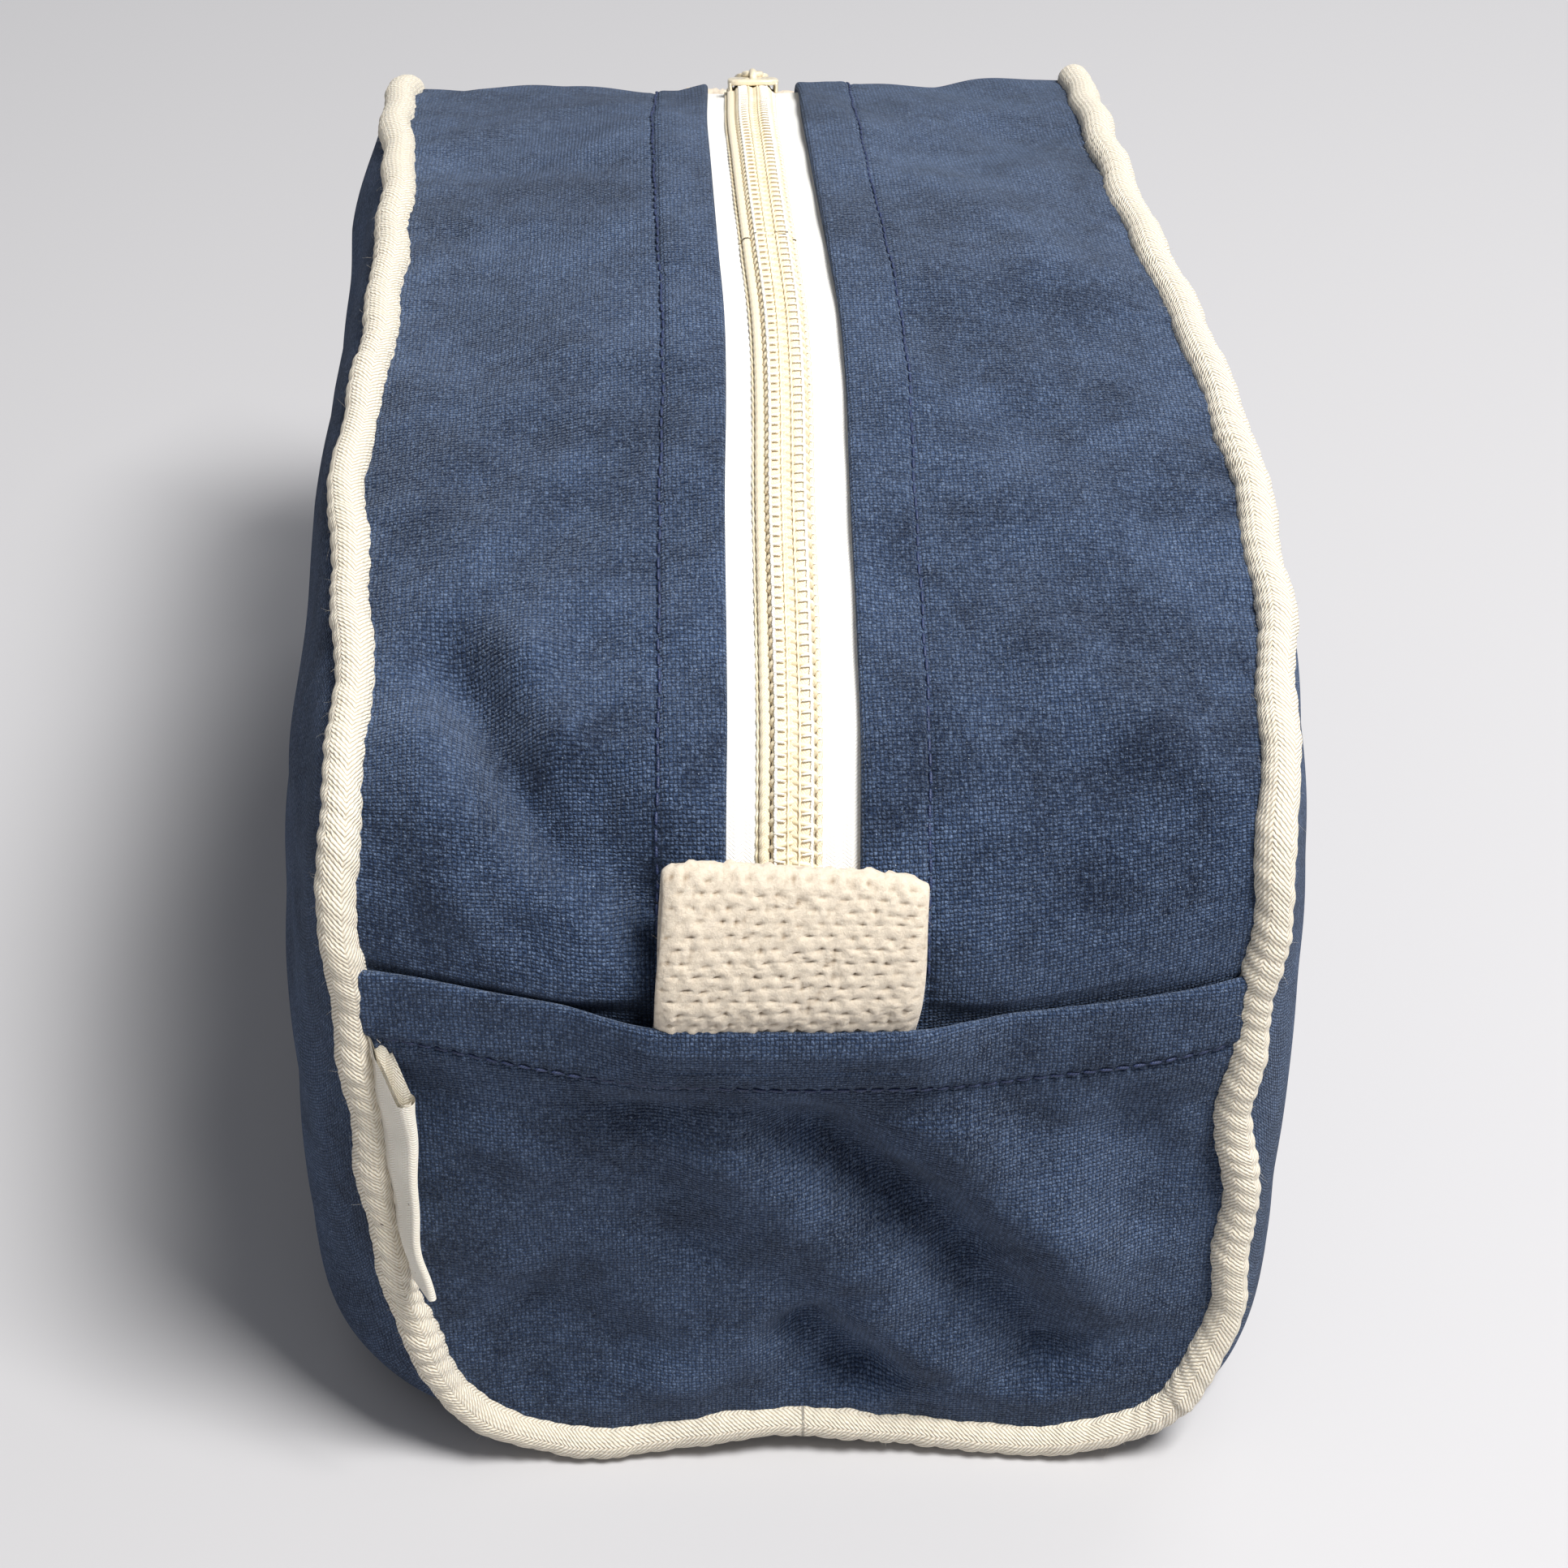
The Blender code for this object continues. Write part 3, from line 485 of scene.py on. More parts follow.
def body_sheet(rows, columns):
    """Grid points of the body panel, its flat cloth coordinates and its normals."""
    along = np.linspace(-2, 2, rows)[:, None]
    around = np.linspace(-1, 1, columns)[None, :]
    reach, top = seam_side.at(along, -0.0012)
    share = np.abs(around)
    side = np.where(around > 0, 1, -1)
    foot, corner = 0.22, 0.46
    turn = np.clip((share - foot) / (corner - foot), 0, 1) * pi / 2
    climb = np.clip((share - corner) / (1 - corner), 0, 1)
    y = np.sign(along) * reach + 0 * share
    end_gap = seam_side.reach - reach
    # The corner is round where it meets the piping and squarer behind it.
    square = 2 / (2 + 2.2 * (1 - np.clip(1 - end_gap / 0.035, 0, 1) ** 2.5))
    x = FOOT_RUN * np.clip(share / foot, 0, 1) + CORNER * np.sin(turn) ** square
    z = CORNER * (1 - np.cos(turn) ** square) + (top - CORNER) * climb
    lift = np.exp(-((end_gap / 0.007) ** 2))
    z = z + (SEAM_FOOT + 0.0008) * lift * (1 - climb)
    full = np.sin(pi * np.clip((share - foot) / (1 - foot), 0, 1) ** 0.85) ** 0.42
    end_fade = 1 - np.clip(1 - end_gap / 0.034, 0, 1) ** 2.6
    bulge = np.where(around > 0, BULGE[1], BULGE[-1])
    x = x + bulge * full * end_fade
    points = np.stack(np.broadcast_arrays(side * x, y, z), -1)
    run_top = HALF_LOOP / 2 + np.sign(along) * np.where(
        np.abs(along) < 1, np.abs(along) * CROWN_RUN, CROWN_RUN + (np.abs(along) - 1) * BEND_RUN)
    run_end = np.where(share < foot, FOOT_RUN * share / foot,
                       FOOT_RUN + CORNER * turn + FACE_RUN * climb)
    run_end = np.where(along > 0, HALF_LOOP - run_end, run_end)
    near_top = climb**3
    near_end = np.exp(-((end_gap / 0.022) ** 2)) * (1 - near_top)
    for s in (-1, 1):
        mine = (side == s)[..., None]
        points = points + mine * near_top[..., None] * seam_shift(s, run_top)
        points = points + mine * near_end[..., None] * seam_shift(s, run_end)
    normal = grid_normals(points)
    normal *= np.sign(np.sum(normal * (points - np.array([0, 0, 0.07])), -1))[..., None]
    upright = np.clip(climb + turn / pi, 0, 1)
    free = upright * np.clip(end_gap / 0.03, 0, 1) * np.clip((1 - climb) / 0.15, 0, 1)
    soft = ripples(points, 3, 0.075, 0.0009) + ripples(points, 4, 0.028, 0.00035)
    points = points + normal * (free * soft)[..., None]
    points[..., 2] = np.maximum(points[..., 2], 0.00025)
    step = np.linalg.norm(np.diff(points, axis=1, prepend=points[:, :1]), axis=-1)
    girth = np.cumsum(step, axis=1)
    girth -= girth[:, columns // 2][:, None]
    flat = np.stack([girth * 1000, points[..., 1] * 1000], -1)
    return points, flat, normal


def joined(piece, body, slot_name, *plain_solids):
    """The piece moves with this body and stands for these plain solids, which are hidden. slot_name is not used."""
    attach(piece, body)
    if plain_solids:
        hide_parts(*plain_solids)


body_points, body_flat, body_out = body_sheet(300, 420)
body_panel = grid_piece("body_canvas", body_points, body_flat, navy_canvas, outward=body_out)
joined(body_panel, "bag", "navy_canvas", "body_panel")


# The zip's canvas: a strip down each side of the zip, from the hem of one end panel to the other. Its zip
# edge is folded under and topstitched, and its outer edge is sewn into the piped seam. The middle lifts.
SIDES = ((-1, "left"), (1, "right"))
FOLD = 0.0009
TOPSTITCH, STITCH = 0.0095, 0.0027
# By station, in millimetres: how far the zip's middle strays from the bag's, and each canvas edge from it.
zip_middle = flowing([
    (-2.3, -3.1), (-1.33, -2.6), (-1.13, -2.3), (-0.91, -1.95), (-0.57, -1.45), (-0.44, -1.0), (-0.22, -0.85),
    (-0.04, -1.6), (0.19, -2.35), (0.33, -2.6), (0.53, -2.8), (0.75, -2.3), (0.91, -1.95), (1.3, -1.6), (2.3, -1.2),
])
zip_gap = flowing([(-2.3, 10.7), (-0.9, 10.9), (-0.3, 10.6), (0.2, 10.0), (0.9, 9.9), (2.3, 10.3)])
# Station of the hem by share across the bag: it dips at both seams and is pushed up over the tab.
hem_line = flowing([
    (-1, 2.012), (-0.83, 1.984), (-0.45, 1.972), (-0.3, 1.950), (0.0, 1.945), (0.2, 1.962), (0.34, 2.002),
    (0.6, 2.028), (1, 2.062),
])
TOP_FOLDS = [
    (-0.056, -0.094, -0.035, -0.142, 0.0038, -0.0062), (-0.045, -0.092, -0.025, -0.136, 0.0044, 0.0030),
    (-0.064, -0.108, -0.050, -0.146, 0.0054, 0.0030), (-0.034, -0.116, -0.022, -0.150, 0.0044, -0.0062),
    (-0.055, -0.132, -0.040, -0.152, 0.0036, -0.0024), (-0.040, -0.100, -0.030, -0.116, 0.0040, -0.0018),
    (0.052, -0.116, 0.034, -0.148, 0.0050, -0.0012), (0.060, -0.100, 0.050, -0.138, 0.0055, 0.0010),
    (0.026, -0.128, 0.040, -0.150, 0.0050, 0.0010),
    (0.022, 0.030, 0.052, 0.074, 0.0085, -0.0030), (-0.058, 0.040, -0.030, 0.082, 0.0090, -0.0016),
    (0.050, -0.020, 0.030, 0.040, 0.0120, 0.0010), (-0.060, -0.040, -0.040, 0.020, 0.0120, -0.0010),
]


def run_of(station):
    """Distance along the seam loop from the middle of the front foot, for a signed station."""
    s = np.abs(station)
    face = CROWN_RUN + BEND_RUN + (s - 2) * (FACE_RUN + CORNER)
    length = np.where(s < 1, s * CROWN_RUN, np.where(s < 2, CROWN_RUN + (s - 1) * BEND_RUN, face))
    return HALF_LOOP / 2 + np.sign(station) * length


def strip_at(share, station):
    """Points of the zip strip: share runs from -1 at the left seam to 1 at the right seam."""
    share, station = np.broadcast_arrays(np.asarray(share, float), np.asarray(station, float))
    run = run_of(station)
    left, right = seam_line(-1, run)[0], seam_line(1, run)[0]
    low_reach, low_high = seam_side.at(station)
    high_reach, high_high = ridge_side.at(station)
    crown = 1 - share**2
    swell = np.stack([0 * share, np.sign(station) * (high_reach - low_reach), high_high - low_high], -1)
    return left * ((1 - share) / 2)[..., None] + right * ((1 + share) / 2)[..., None] + swell * crown[..., None]


def share_of(x, station):
    """Share across the strip of a distance x from the bag's middle plane."""
    run = run_of(station)
    left, right = seam_line(-1, run)[0][..., 0], seam_line(1, run)[0][..., 0]
    return (x - (left + right) / 2) / ((right - left) / 2)


def length_of(station):
    """Distance along the ridge from the middle of the crown, with its sign."""
    s = np.abs(station)
    crown, bend = ridge_side.crown * ridge_side.slope, ridge_side.shoulder * (pi / 2 - ridge_side.slope)
    face = crown + bend + (s - 2) * (ridge_side.knee_height - SEAM_FOOT)
    far = np.where(s < 1, s * crown, np.where(s < 2, crown + (s - 1) * bend, face))
    return np.sign(station) * far


def outward_normals(points):
    normal = grid_normals(points)
    return normal * np.sign(np.sum(normal * (points - np.array([0, 0, 0.06])), -1))[..., None]


TURNED_FLAT = np.array([0.0004 * i for i in range(1, 9)] + [0.006, 0.011])


def turned_under(edge, toward, out):
    """Ten lines of points that take an edge round its fold and back under the cloth."""
    bend = [pi * i / 8 for i in range(1, 9)]
    turned = [edge + toward * (FOLD * sin(a)) - out * (FOLD * (1 - cos(a))) for a in bend]
    return turned + [edge - toward * back - out * 2 * FOLD for back in (0.003, 0.008)]


def zip_canvas_sheet(side, rows=520, columns=150):
    """The whole strip on one side: rows run from front to rear, columns from the seam to under the fold."""
    station = np.linspace(-2.14, 2.14, rows)[:, None]
    edge_x = (zip_middle(station) + side * zip_gap(station)) / 1000
    edge = share_of(edge_x, station)
    start = side * 0.975
    across = np.linspace(0, 1, columns)[None, :] ** 0.9
    share = start + (edge - start) * across
    base = strip_at(share, station + 0 * share)
    normal = outward_normals(base)
    x, length = base[..., 0], length_of(station + 0 * share)
    from_edge = np.abs(x - edge_x)
    from_seam = np.abs(np.abs(x) - SEAM_HALF)
    thick = 0.00055 * np.clip((TOPSTITCH + 0.0006 - from_edge) / 0.0012, 0, 1)
    groove = -0.00042 * np.exp(-(((from_edge - TOPSTITCH) / 0.0008) ** 2))
    pucker = 0.00016 * np.sin(length * 2 * pi / STITCH) * np.exp(-(((from_edge - TOPSTITCH) / 0.0016) ** 2))
    free = np.clip(from_seam / 0.012, 0, 1) * np.clip(from_edge / 0.006 + 0.15, 0, 1)
    soft = ripples(base, 11 + side, 0.060, 0.0007) + ripples(base, 21 + side, 0.019, 0.00030)
    seam_pull = 0.00035 * np.sin(length * 2 * pi / 0.0115 + 1.7 * np.sin(length * 90)) * np.exp(-from_seam / 0.006)
    height = thick + groove + pucker + seam_pull + free * (soft + creased(x, length, TOP_FOLDS))
    under_hem = np.clip((np.abs(station) - hem_line(share * np.sign(-station)) + 0.05) / 0.07, 0, 1)
    height = height * (1 - under_hem) - 0.0006 * under_hem
    top = base + normal * height[..., None]
    turned = turned_under(top[:, -1], unit(top[:, -1] - top[:, -2]), normal[:, -1])
    points = np.concatenate([top, np.stack(turned, 1)], 1)
    far = np.concatenate([x, edge_x - side * TURNED_FLAT], 1)
    flat = np.stack([far * 1000, np.repeat(length[:, :1], points.shape[1], 1) * 1000], -1)
    return points, flat, station[:, 0], np.concatenate([normal, np.repeat(normal[:, -1:], len(TURNED_FLAT), 1)], 1)


def keep_shading(piece, points, rows, outward):
    """Gives a cut piece the shading of the whole sheet, so that no line shows where two pieces meet."""
    normal = grid_normals(points)
    middle = normal.shape[1] // 2
    if np.sum(normal[:, :middle] * outward[:, :middle]) < 0:
        normal = -normal
    piece.data.normals_split_custom_set_from_vertices(normal[rows].reshape(-1, 3).astype(float).tolist())


def bends_with(piece, word, end, slot_name, *plain_solids):
    """A piece beside the zip: its placement is baked into its mesh, and the plain solids it stands for are hidden.
    word, end and slot_name are not used.
    """
    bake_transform(piece)
    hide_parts(*plain_solids)


def halves_of(station):
    """The front half's rows and the rear half's rows of a sheet along the zip."""
    middle = int(np.argmin(np.abs(station)))
    return ((-1, "front", slice(0, middle + 1)), (1, "rear", slice(middle, len(station))))


def cut_at_middle(name, word, sheet, finish, slot_name, plain_solid):
    """Makes the front and rear halves of a sheet beside the zip."""
    points, flat, station, outward = sheet
    for end, place, rows in halves_of(station):
        piece = grid_piece(f"{name}_{word}_{place}", points[rows], flat[rows], finish, outward=outward[rows])
        keep_shading(piece, points, rows, outward)
        bends_with(piece, word, end, slot_name, f"{plain_solid}_{word}_{place}", f"{plain_solid}_{word}")


for side, word in SIDES:
    cut_at_middle("zip_cloth", word, zip_canvas_sheet(side), navy_canvas, "navy_canvas", "zip_canvas")


# The end panels: navy canvas with a folded hem at the top, lapped over the zip's canvas and topstitched.
# The front one is creased, and softly swollen over its foot.
ENDS = ((-1, "front"), (1, "rear"))
LAP = 0.0017
HEM_DEPTH = 0.0122
FACE_FOLDS = [
    (-0.006, 0.083, 0.028, 0.047, 0.0050, -0.0066), (0.024, 0.052, 0.043, 0.018, 0.0056, -0.0056),
    (0.010, 0.088, 0.052, 0.040, 0.0070, 0.0046), (-0.018, 0.080, 0.014, 0.036, 0.0080, 0.0036),
    (-0.003, 0.033, 0.013, 0.014, 0.0050, -0.0056), (0.008, 0.038, 0.022, 0.020, 0.0045, 0.0026),
    (-0.030, 0.074, -0.016, 0.046, 0.0080, -0.0018), (-0.050, 0.040, -0.026, 0.020, 0.0080, -0.0022),
    (-0.050, 0.060, -0.030, 0.024, 0.0090, -0.0012), (0.044, 0.080, 0.060, 0.050, 0.0070, -0.0012),
    (-0.040, 0.086, -0.014, 0.088, 0.0060, -0.0010), (0.020, 0.022, 0.046, 0.016, 0.0070, 0.0014),
    (-0.044, 0.020, -0.012, 0.014, 0.0070, 0.0012), (0.030, 0.090, 0.058, 0.096, 0.0060, -0.0008),
]


def end_panel_sheet(end, rows=190, columns=260):
    """A patch held by the hem line, both upright seams and the curved foot of the seam."""
    share = np.linspace(-1, 1, columns)
    fall = np.linspace(0, 1, rows)
    hem = strip_at(share, end * hem_line(-end * share))
    corner = FOOT_RUN + CORNER_RUN / 2
    sides = []
    for side in (-1, 1):
        start = float(run_of(-hem_line(np.array([-end * side * 1.0])))[0])
        run = start + (corner - start) * fall
        sides.append(seam_line(side, run if end < 0 else HALF_LOOP - run)[0])
    left, right = sides
    foot_run = corner * np.abs(share)
    foot_run = foot_run if end < 0 else HALF_LOOP - foot_run
    foot = np.where((share < 0)[:, None], seam_line(-1, foot_run)[0], seam_line(1, foot_run)[0])
    u, v = ((share + 1) / 2)[None, :, None], fall[:, None, None]
    patch = hem[None] * (1 - v) + foot[None] * v + left[:, None] * (1 - u) + right[:, None] * u
    patch -= hem[0] * (1 - u) * (1 - v) + hem[-1] * u * (1 - v) + foot[0] * (1 - u) * v + foot[-1] * u * v
    bow = (1 - share[None, :] ** 2) * np.sin(pi * fall[:, None]) ** 0.8
    patch[..., 1] += end * bow * 0.0022
    x, z = patch[..., 0], patch[..., 2]
    edge = np.minimum(np.minimum(x - left[:, 0:1], right[:, 0:1] - x), z - np.interp(x, foot[:, 0], foot[:, 2]))
    free = np.clip(edge / 0.012, 0, 1)
    down = np.abs(hem[None, :, 2] - z)
    lap = LAP * np.clip((0.024 - down) / 0.012, 0, 1)
    over_tab = np.clip((0.0360 - np.abs(x + end * -0.0042)) / 0.0190, 0, 1)
    lap = lap + 0.0053 * over_tab**2 * (3 - 2 * over_tab) * np.clip((0.019 - down) / 0.016, 0, 1)
    hem_swell = 0.00045 * np.clip((HEM_DEPTH + 0.0006 - down) / 0.0012, 0, 1)
    groove = -0.0005 * np.exp(-(((down - HEM_DEPTH) / 0.0009) ** 2))
    pucker = 0.0002 * np.sin(x * 2 * pi / STITCH) * np.exp(-(((down - HEM_DEPTH) / 0.002) ** 2))
    folds = creased(x, z, FACE_FOLDS) if end < 0 else creased(-x, z, FACE_FOLDS[1:6])
    soft = ripples(patch, 31 + end, 0.055, 0.0008) + ripples(patch, 41 + end, 0.018, 0.00032)
    below = np.clip((down - HEM_DEPTH) / 0.008, 0.12, 1)
    pull = 0.0004 * np.sin(x * 2 * pi / 0.013 + 2 * np.sin(x * 70)) * np.exp(-np.maximum(edge, 0) / 0.006)
    height = lap * np.clip((1 - np.abs(share)) / 0.03, 0, 1) ** 0.5 + hem_swell + groove + pucker
    height = height + free * below * (soft + folds) + pull
    normal = outward_normals(patch)
    panel = patch + normal * height[..., None]
    turned = turned_under(panel[0], unit(panel[0] - panel[1]), normal[0])[::-1]
    points = np.concatenate([np.stack(turned), panel], 0)
    tall = np.concatenate([z[:1] + TURNED_FLAT[::-1, None], z], 0)
    flat = np.stack([np.concatenate([np.repeat(x[:1], len(TURNED_FLAT), 0), x], 0) * 1000, tall * 1000], -1)
    outward = np.concatenate([np.repeat(normal[:1], len(TURNED_FLAT), 0), normal], 0)
    return points, flat, outward, panel, normal, down


end_sheets = {}
for end, place in ENDS:
    points, flat, outward, panel, normal, down = end_panel_sheet(end)
    piece = grid_piece("end_canvas_" + place, points, flat, navy_canvas, outward=outward)
    joined(piece, "bag", "navy_canvas", "end_panel_" + place)
    end_sheets[end] = (panel, normal, down)


# The piping: natural herringbone twill tape folded over a three-strand cotton cord and sewn into the
# seam all the way round. The cord's strands press through the tape as slanting ribs.
PIPING = 0.0031
STRAND_LAY = 0.0105


def twill_group():
    """Herringbone twill: slanting ribs that turn back at each rib column."""
    tree, sh, given, out = node_group(
        "herringbone_twill",
        [("Cloth", "Vector", None), ("Pitch", "Float", 0.8), ("Column", "Float", 3.2), ("Slant", "Float", 1.0)],
        [("Height", "Float")],
    )
    blur = sh.node("TexNoise", noise_dimensions="2D")
    sh.feed(blur.inputs["Vector"], given["Cloth"])
    blur.inputs["Scale"].default_value = 1.3
    across, along = sh.split(given["Cloth"])[:2]
    swing = sh.math("MULTIPLY", sh.math("PINGPONG", along, given["Column"]), given["Slant"])
    slope = sh.math("ADD", sh.math("ADD", across, swing), sh.math("MULTIPLY", blur.outputs["Fac"], 0.35))
    rib = sh.math("ABSOLUTE", sh.math("SINE", sh.math("MULTIPLY", sh.math("DIVIDE", slope, given["Pitch"]), pi)))
    half_pitch = sh.math("MULTIPLY", given["Pitch"], 0.5)
    cross = sh.math("SINE", sh.math("MULTIPLY", sh.math("DIVIDE", along, half_pitch), pi))
    height = sh.math("MULTIPLY", sh.math("POWER", rib, 0.7), sh.math("ADD", 0.82, sh.math("MULTIPLY", cross, 0.18)))
    sh.feed(out["Height"], height)
    return tree


herringbone_twill = twill_group()


def cotton_tape_finish(name, light, dark, pitch, column, depth, slant=1.0):
    """Undyed cotton tape: creamy ribs with painted shade, darker and warmer, in the gaps between them, and a little
    fluff.
    """
    made, sh, skin = new_finish(name)
    flat, place = cloth_place(sh)
    rib = sh.group(herringbone_twill, cloth=flat, pitch=pitch, column=column, slant=slant).outputs
    cloud = sh.noise(place, 60, 3, 0.6)
    fluff = sh.noise(place, 2400, 3, 0.7, 0.5)
    # Painted shade: the low places between the ribs take the dark colour.
    base = sh.mix(sh.span(rib["Height"], 0.05, 0.75), dark, light)
    base = sh.mix(sh.span(cloud, 0.35, 0.7, 0.0, 0.35), base, (light[0] * 0.93, light[1] * 0.9, light[2] * 0.82, 1))
    base = sh.mix(sh.span(fluff, 0.35, 0.7, 0.30, 0.0), base, dark)
    speck = sh.noise(place, 800, 1, 0.4)
    base = sh.mix(sh.span(speck, 0.80, 0.84), base, (0.16, 0.10, 0.06, 1))
    sh.feed(skin["Base Color"], base)
    sh.plain(skin, {"Roughness": 0.9, "Specular IOR Level": 0.2, "Sheen Weight": 0.25, "Sheen Roughness": 0.5,
                    "Subsurface Weight": 0.06, "Subsurface Radius": (1.0, 0.7, 0.45),
                    "Subsurface Scale": 0.001})
    height = sh.math("ADD", rib["Height"], sh.math("MULTIPLY", fluff, 0.5))
    sh.bump(skin["Normal"], height, 0.85, depth)
    return made


piping_tape = cotton_tape_finish("piping_twill", (0.93, 0.88, 0.77, 1), (0.58, 0.47, 0.32, 1), 0.80, 3.1, 0.00030)


def seam_ring(rings):
    """The seam once round: points, ways inward and across, distance of each point, and the whole length."""
    run = np.linspace(0, HALF_LOOP, rings // 2, endpoint=False)
    parts = [seam_line(1, run), seam_line(-1, HALF_LOOP - run)]
    middle, strip, body = (np.concatenate([a, b]) for a, b in zip(*parts))
    step = np.linalg.norm(np.roll(middle, -1, 0) - middle, axis=1)
    far = np.concatenate([[0], np.cumsum(step)[:-1]])
    return middle, unit(strip + body), unit(strip - body), far, far[-1] + step[-1]


def piping_ring(rings=2700, spokes=30):
    middle, inward, across, far, whole = seam_ring(rings)
    angle = np.linspace(0, 2 * pi, spokes, endpoint=False)
    # Every wave fits a whole number of times round, so that the ring closes without a step.
    round_trip = far * 2 * pi / whole
    wave = lambda times, start=0.0: np.sin(round_trip * times + start)
    turn = 3 * angle[None, :] + (3 * round(whole / STRAND_LAY) * round_trip + 0.7 * wave(82))[:, None]
    strength = 0.35 + 0.65 * (0.5 + 0.5 * wave(18) * wave(7, 1.2))
    strand = (np.abs(np.sin(turn / 2)) ** 0.8 - 0.6) * 0.00046 * strength[:, None]
    fat = 0.00012 * wave(62, 0.6)[:, None] + 0.00008 * np.sin(round_trip[:, None] * 161 + angle[None, :])
    overlap = 0.00034 * np.clip((far - 0.0665) / 0.0005, 0, 1) * np.clip((0.083 - far) / 0.012, 0, 1)
    radius = PIPING + strand + fat + overlap[:, None]
    drift = np.stack([0.00035 * wave(46), 0.0002 * wave(58, 2), 0.0003 * wave(37, 4)], -1)
    points = middle[:, None] + drift[:, None] + radius[..., None] * (
        inward[:, None] * np.cos(angle)[None, :, None] + across[:, None] * np.sin(angle)[None, :, None])
    points[..., 2] = np.maximum(points[..., 2], 0.0002)
    flat = np.stack(np.broadcast_arrays(far[:, None], angle[None] * PIPING), -1)
    outward = points - middle[:, None]
    return points, flat * 1000, outward


ring_points, ring_flat, ring_out = piping_ring()
piping = grid_piece("piping_twill_ring", ring_points, ring_flat, piping_tape, ring=(True, True), outward=ring_out)
joined(piping, "bag", "cotton_twill", "piping_cover", "piping_cord")


# The zip tapes: woven off-white tape under the canvas edges, one each side, plain but for fine ribs.
TAPE_DROP = 0.0016


def tape_finish():
    made, sh, skin = new_finish("zip_tape_weave")
    flat, place = cloth_place(sh)
    rib = sh.group(herringbone_twill, cloth=flat, pitch=0.62, column=1.25, slant=0.9).outputs
    cloud = sh.noise(place, 90, 2, 0.5)
    # Painted shade: the low places between the fine ribs are darker.
    base = sh.mix(sh.span(rib["Height"], 0.05, 0.7), (0.78, 0.75, 0.68, 1), (0.95, 0.945, 0.925, 1))
    base = sh.mix(sh.span(cloud, 0.35, 0.7, 0, 0.25), base, (0.92, 0.90, 0.85, 1))
    sh.feed(skin["Base Color"], base)
    sh.plain(skin, {"Roughness": 0.75, "Sheen Weight": 0.15, "Subsurface Weight": 0.05,
                    "Subsurface Radius": (1.0, 0.8, 0.6), "Subsurface Scale": 0.001})
    sh.bump(skin["Normal"], rib["Height"], 0.8, 0.00012)
    return made


tape_weave = tape_finish()


def along_zip(side, rows, offsets, last=2.16):
    """Grid along the zip: offsets are (distance out from the zip's middle, height over the canvas line)."""
    station = np.linspace(-last, last, rows)[:, None]
    out, high = np.array(offsets, float).T
    x = zip_middle(station) / 1000 + side * out[None, :]
    share = share_of(x, station + 0 * x)
    base = strip_at(share, station + 0 * x)
    normal = outward_normals(base)
    points = base + normal * high[None, :, None]
    flat = np.stack([np.repeat(length_of(station), len(out), 1), 0 * station + out[None, :]], -1) * 1000
    return points, flat, station[:, 0], normal


def tape_sheet(side):
    sag = lambda x: 0.00015 * sin((x - 0.0012) / 0.0095 * pi) + 0.0018 * min(max((x - 0.0108) / 0.002, 0), 1)
    offsets = [(x, -TAPE_DROP - sag(x)) for x in np.linspace(0.0012, 0.0140, 34)]
    offsets[:5] = [(0.0010, -TAPE_DROP - 0.0006), (0.0012, -TAPE_DROP - 0.0001), (0.0016, -TAPE_DROP),
                   (0.0022, -TAPE_DROP), (0.0030, -TAPE_DROP)]
    points, flat, station, normal = along_zip(side, 700, offsets)
    waver = 0.00016 * np.sin(points[..., 1] * 2 * pi / 0.021 + side) * np.clip((np.abs(flat[..., 1]) - 4) / 3, 0, 1)
    return points + normal * waver[..., None], flat, station, normal


for side, word in SIDES:
    cut_at_middle("tape_cloth", word, tape_sheet(side), tape_weave, "zip_tape", "zip_tape")


# The linings: thin grey cotton against the inside of each piece of canvas, seen only when the bag is open.
# Each is cut like its canvas and lies a little inside it.
def lining_finish():
    made, sh, skin = new_finish("lining_cotton")
    flat, place = cloth_place(sh)
    weave = sh.group(plain_weave, cloth=flat, pitch=0.42, wobble=0.4).outputs
    cloud = sh.noise(place, 45, 3, 0.6)
    # Painted shade: the low places between the weave's threads are darker.
    base = sh.mix(sh.span(weave["Height"], 0.0, 0.6), (0.10, 0.11, 0.13, 1), (0.32, 0.34, 0.38, 1))
    base = sh.mix(sh.span(cloud, 0.35, 0.7, 0, 0.35), base, (0.22, 0.24, 0.29, 1))
    sh.feed(skin["Base Color"], base)
    sh.plain(skin, {"Roughness": 0.9, "Specular IOR Level": 0.2})
    sh.bump(skin["Normal"], weave["Height"], 0.7, 0.00012)
    return made


lining_cotton = lining_finish()
LINING_GAP, ZIP_LINING_GAP = 0.0021, 0.0027

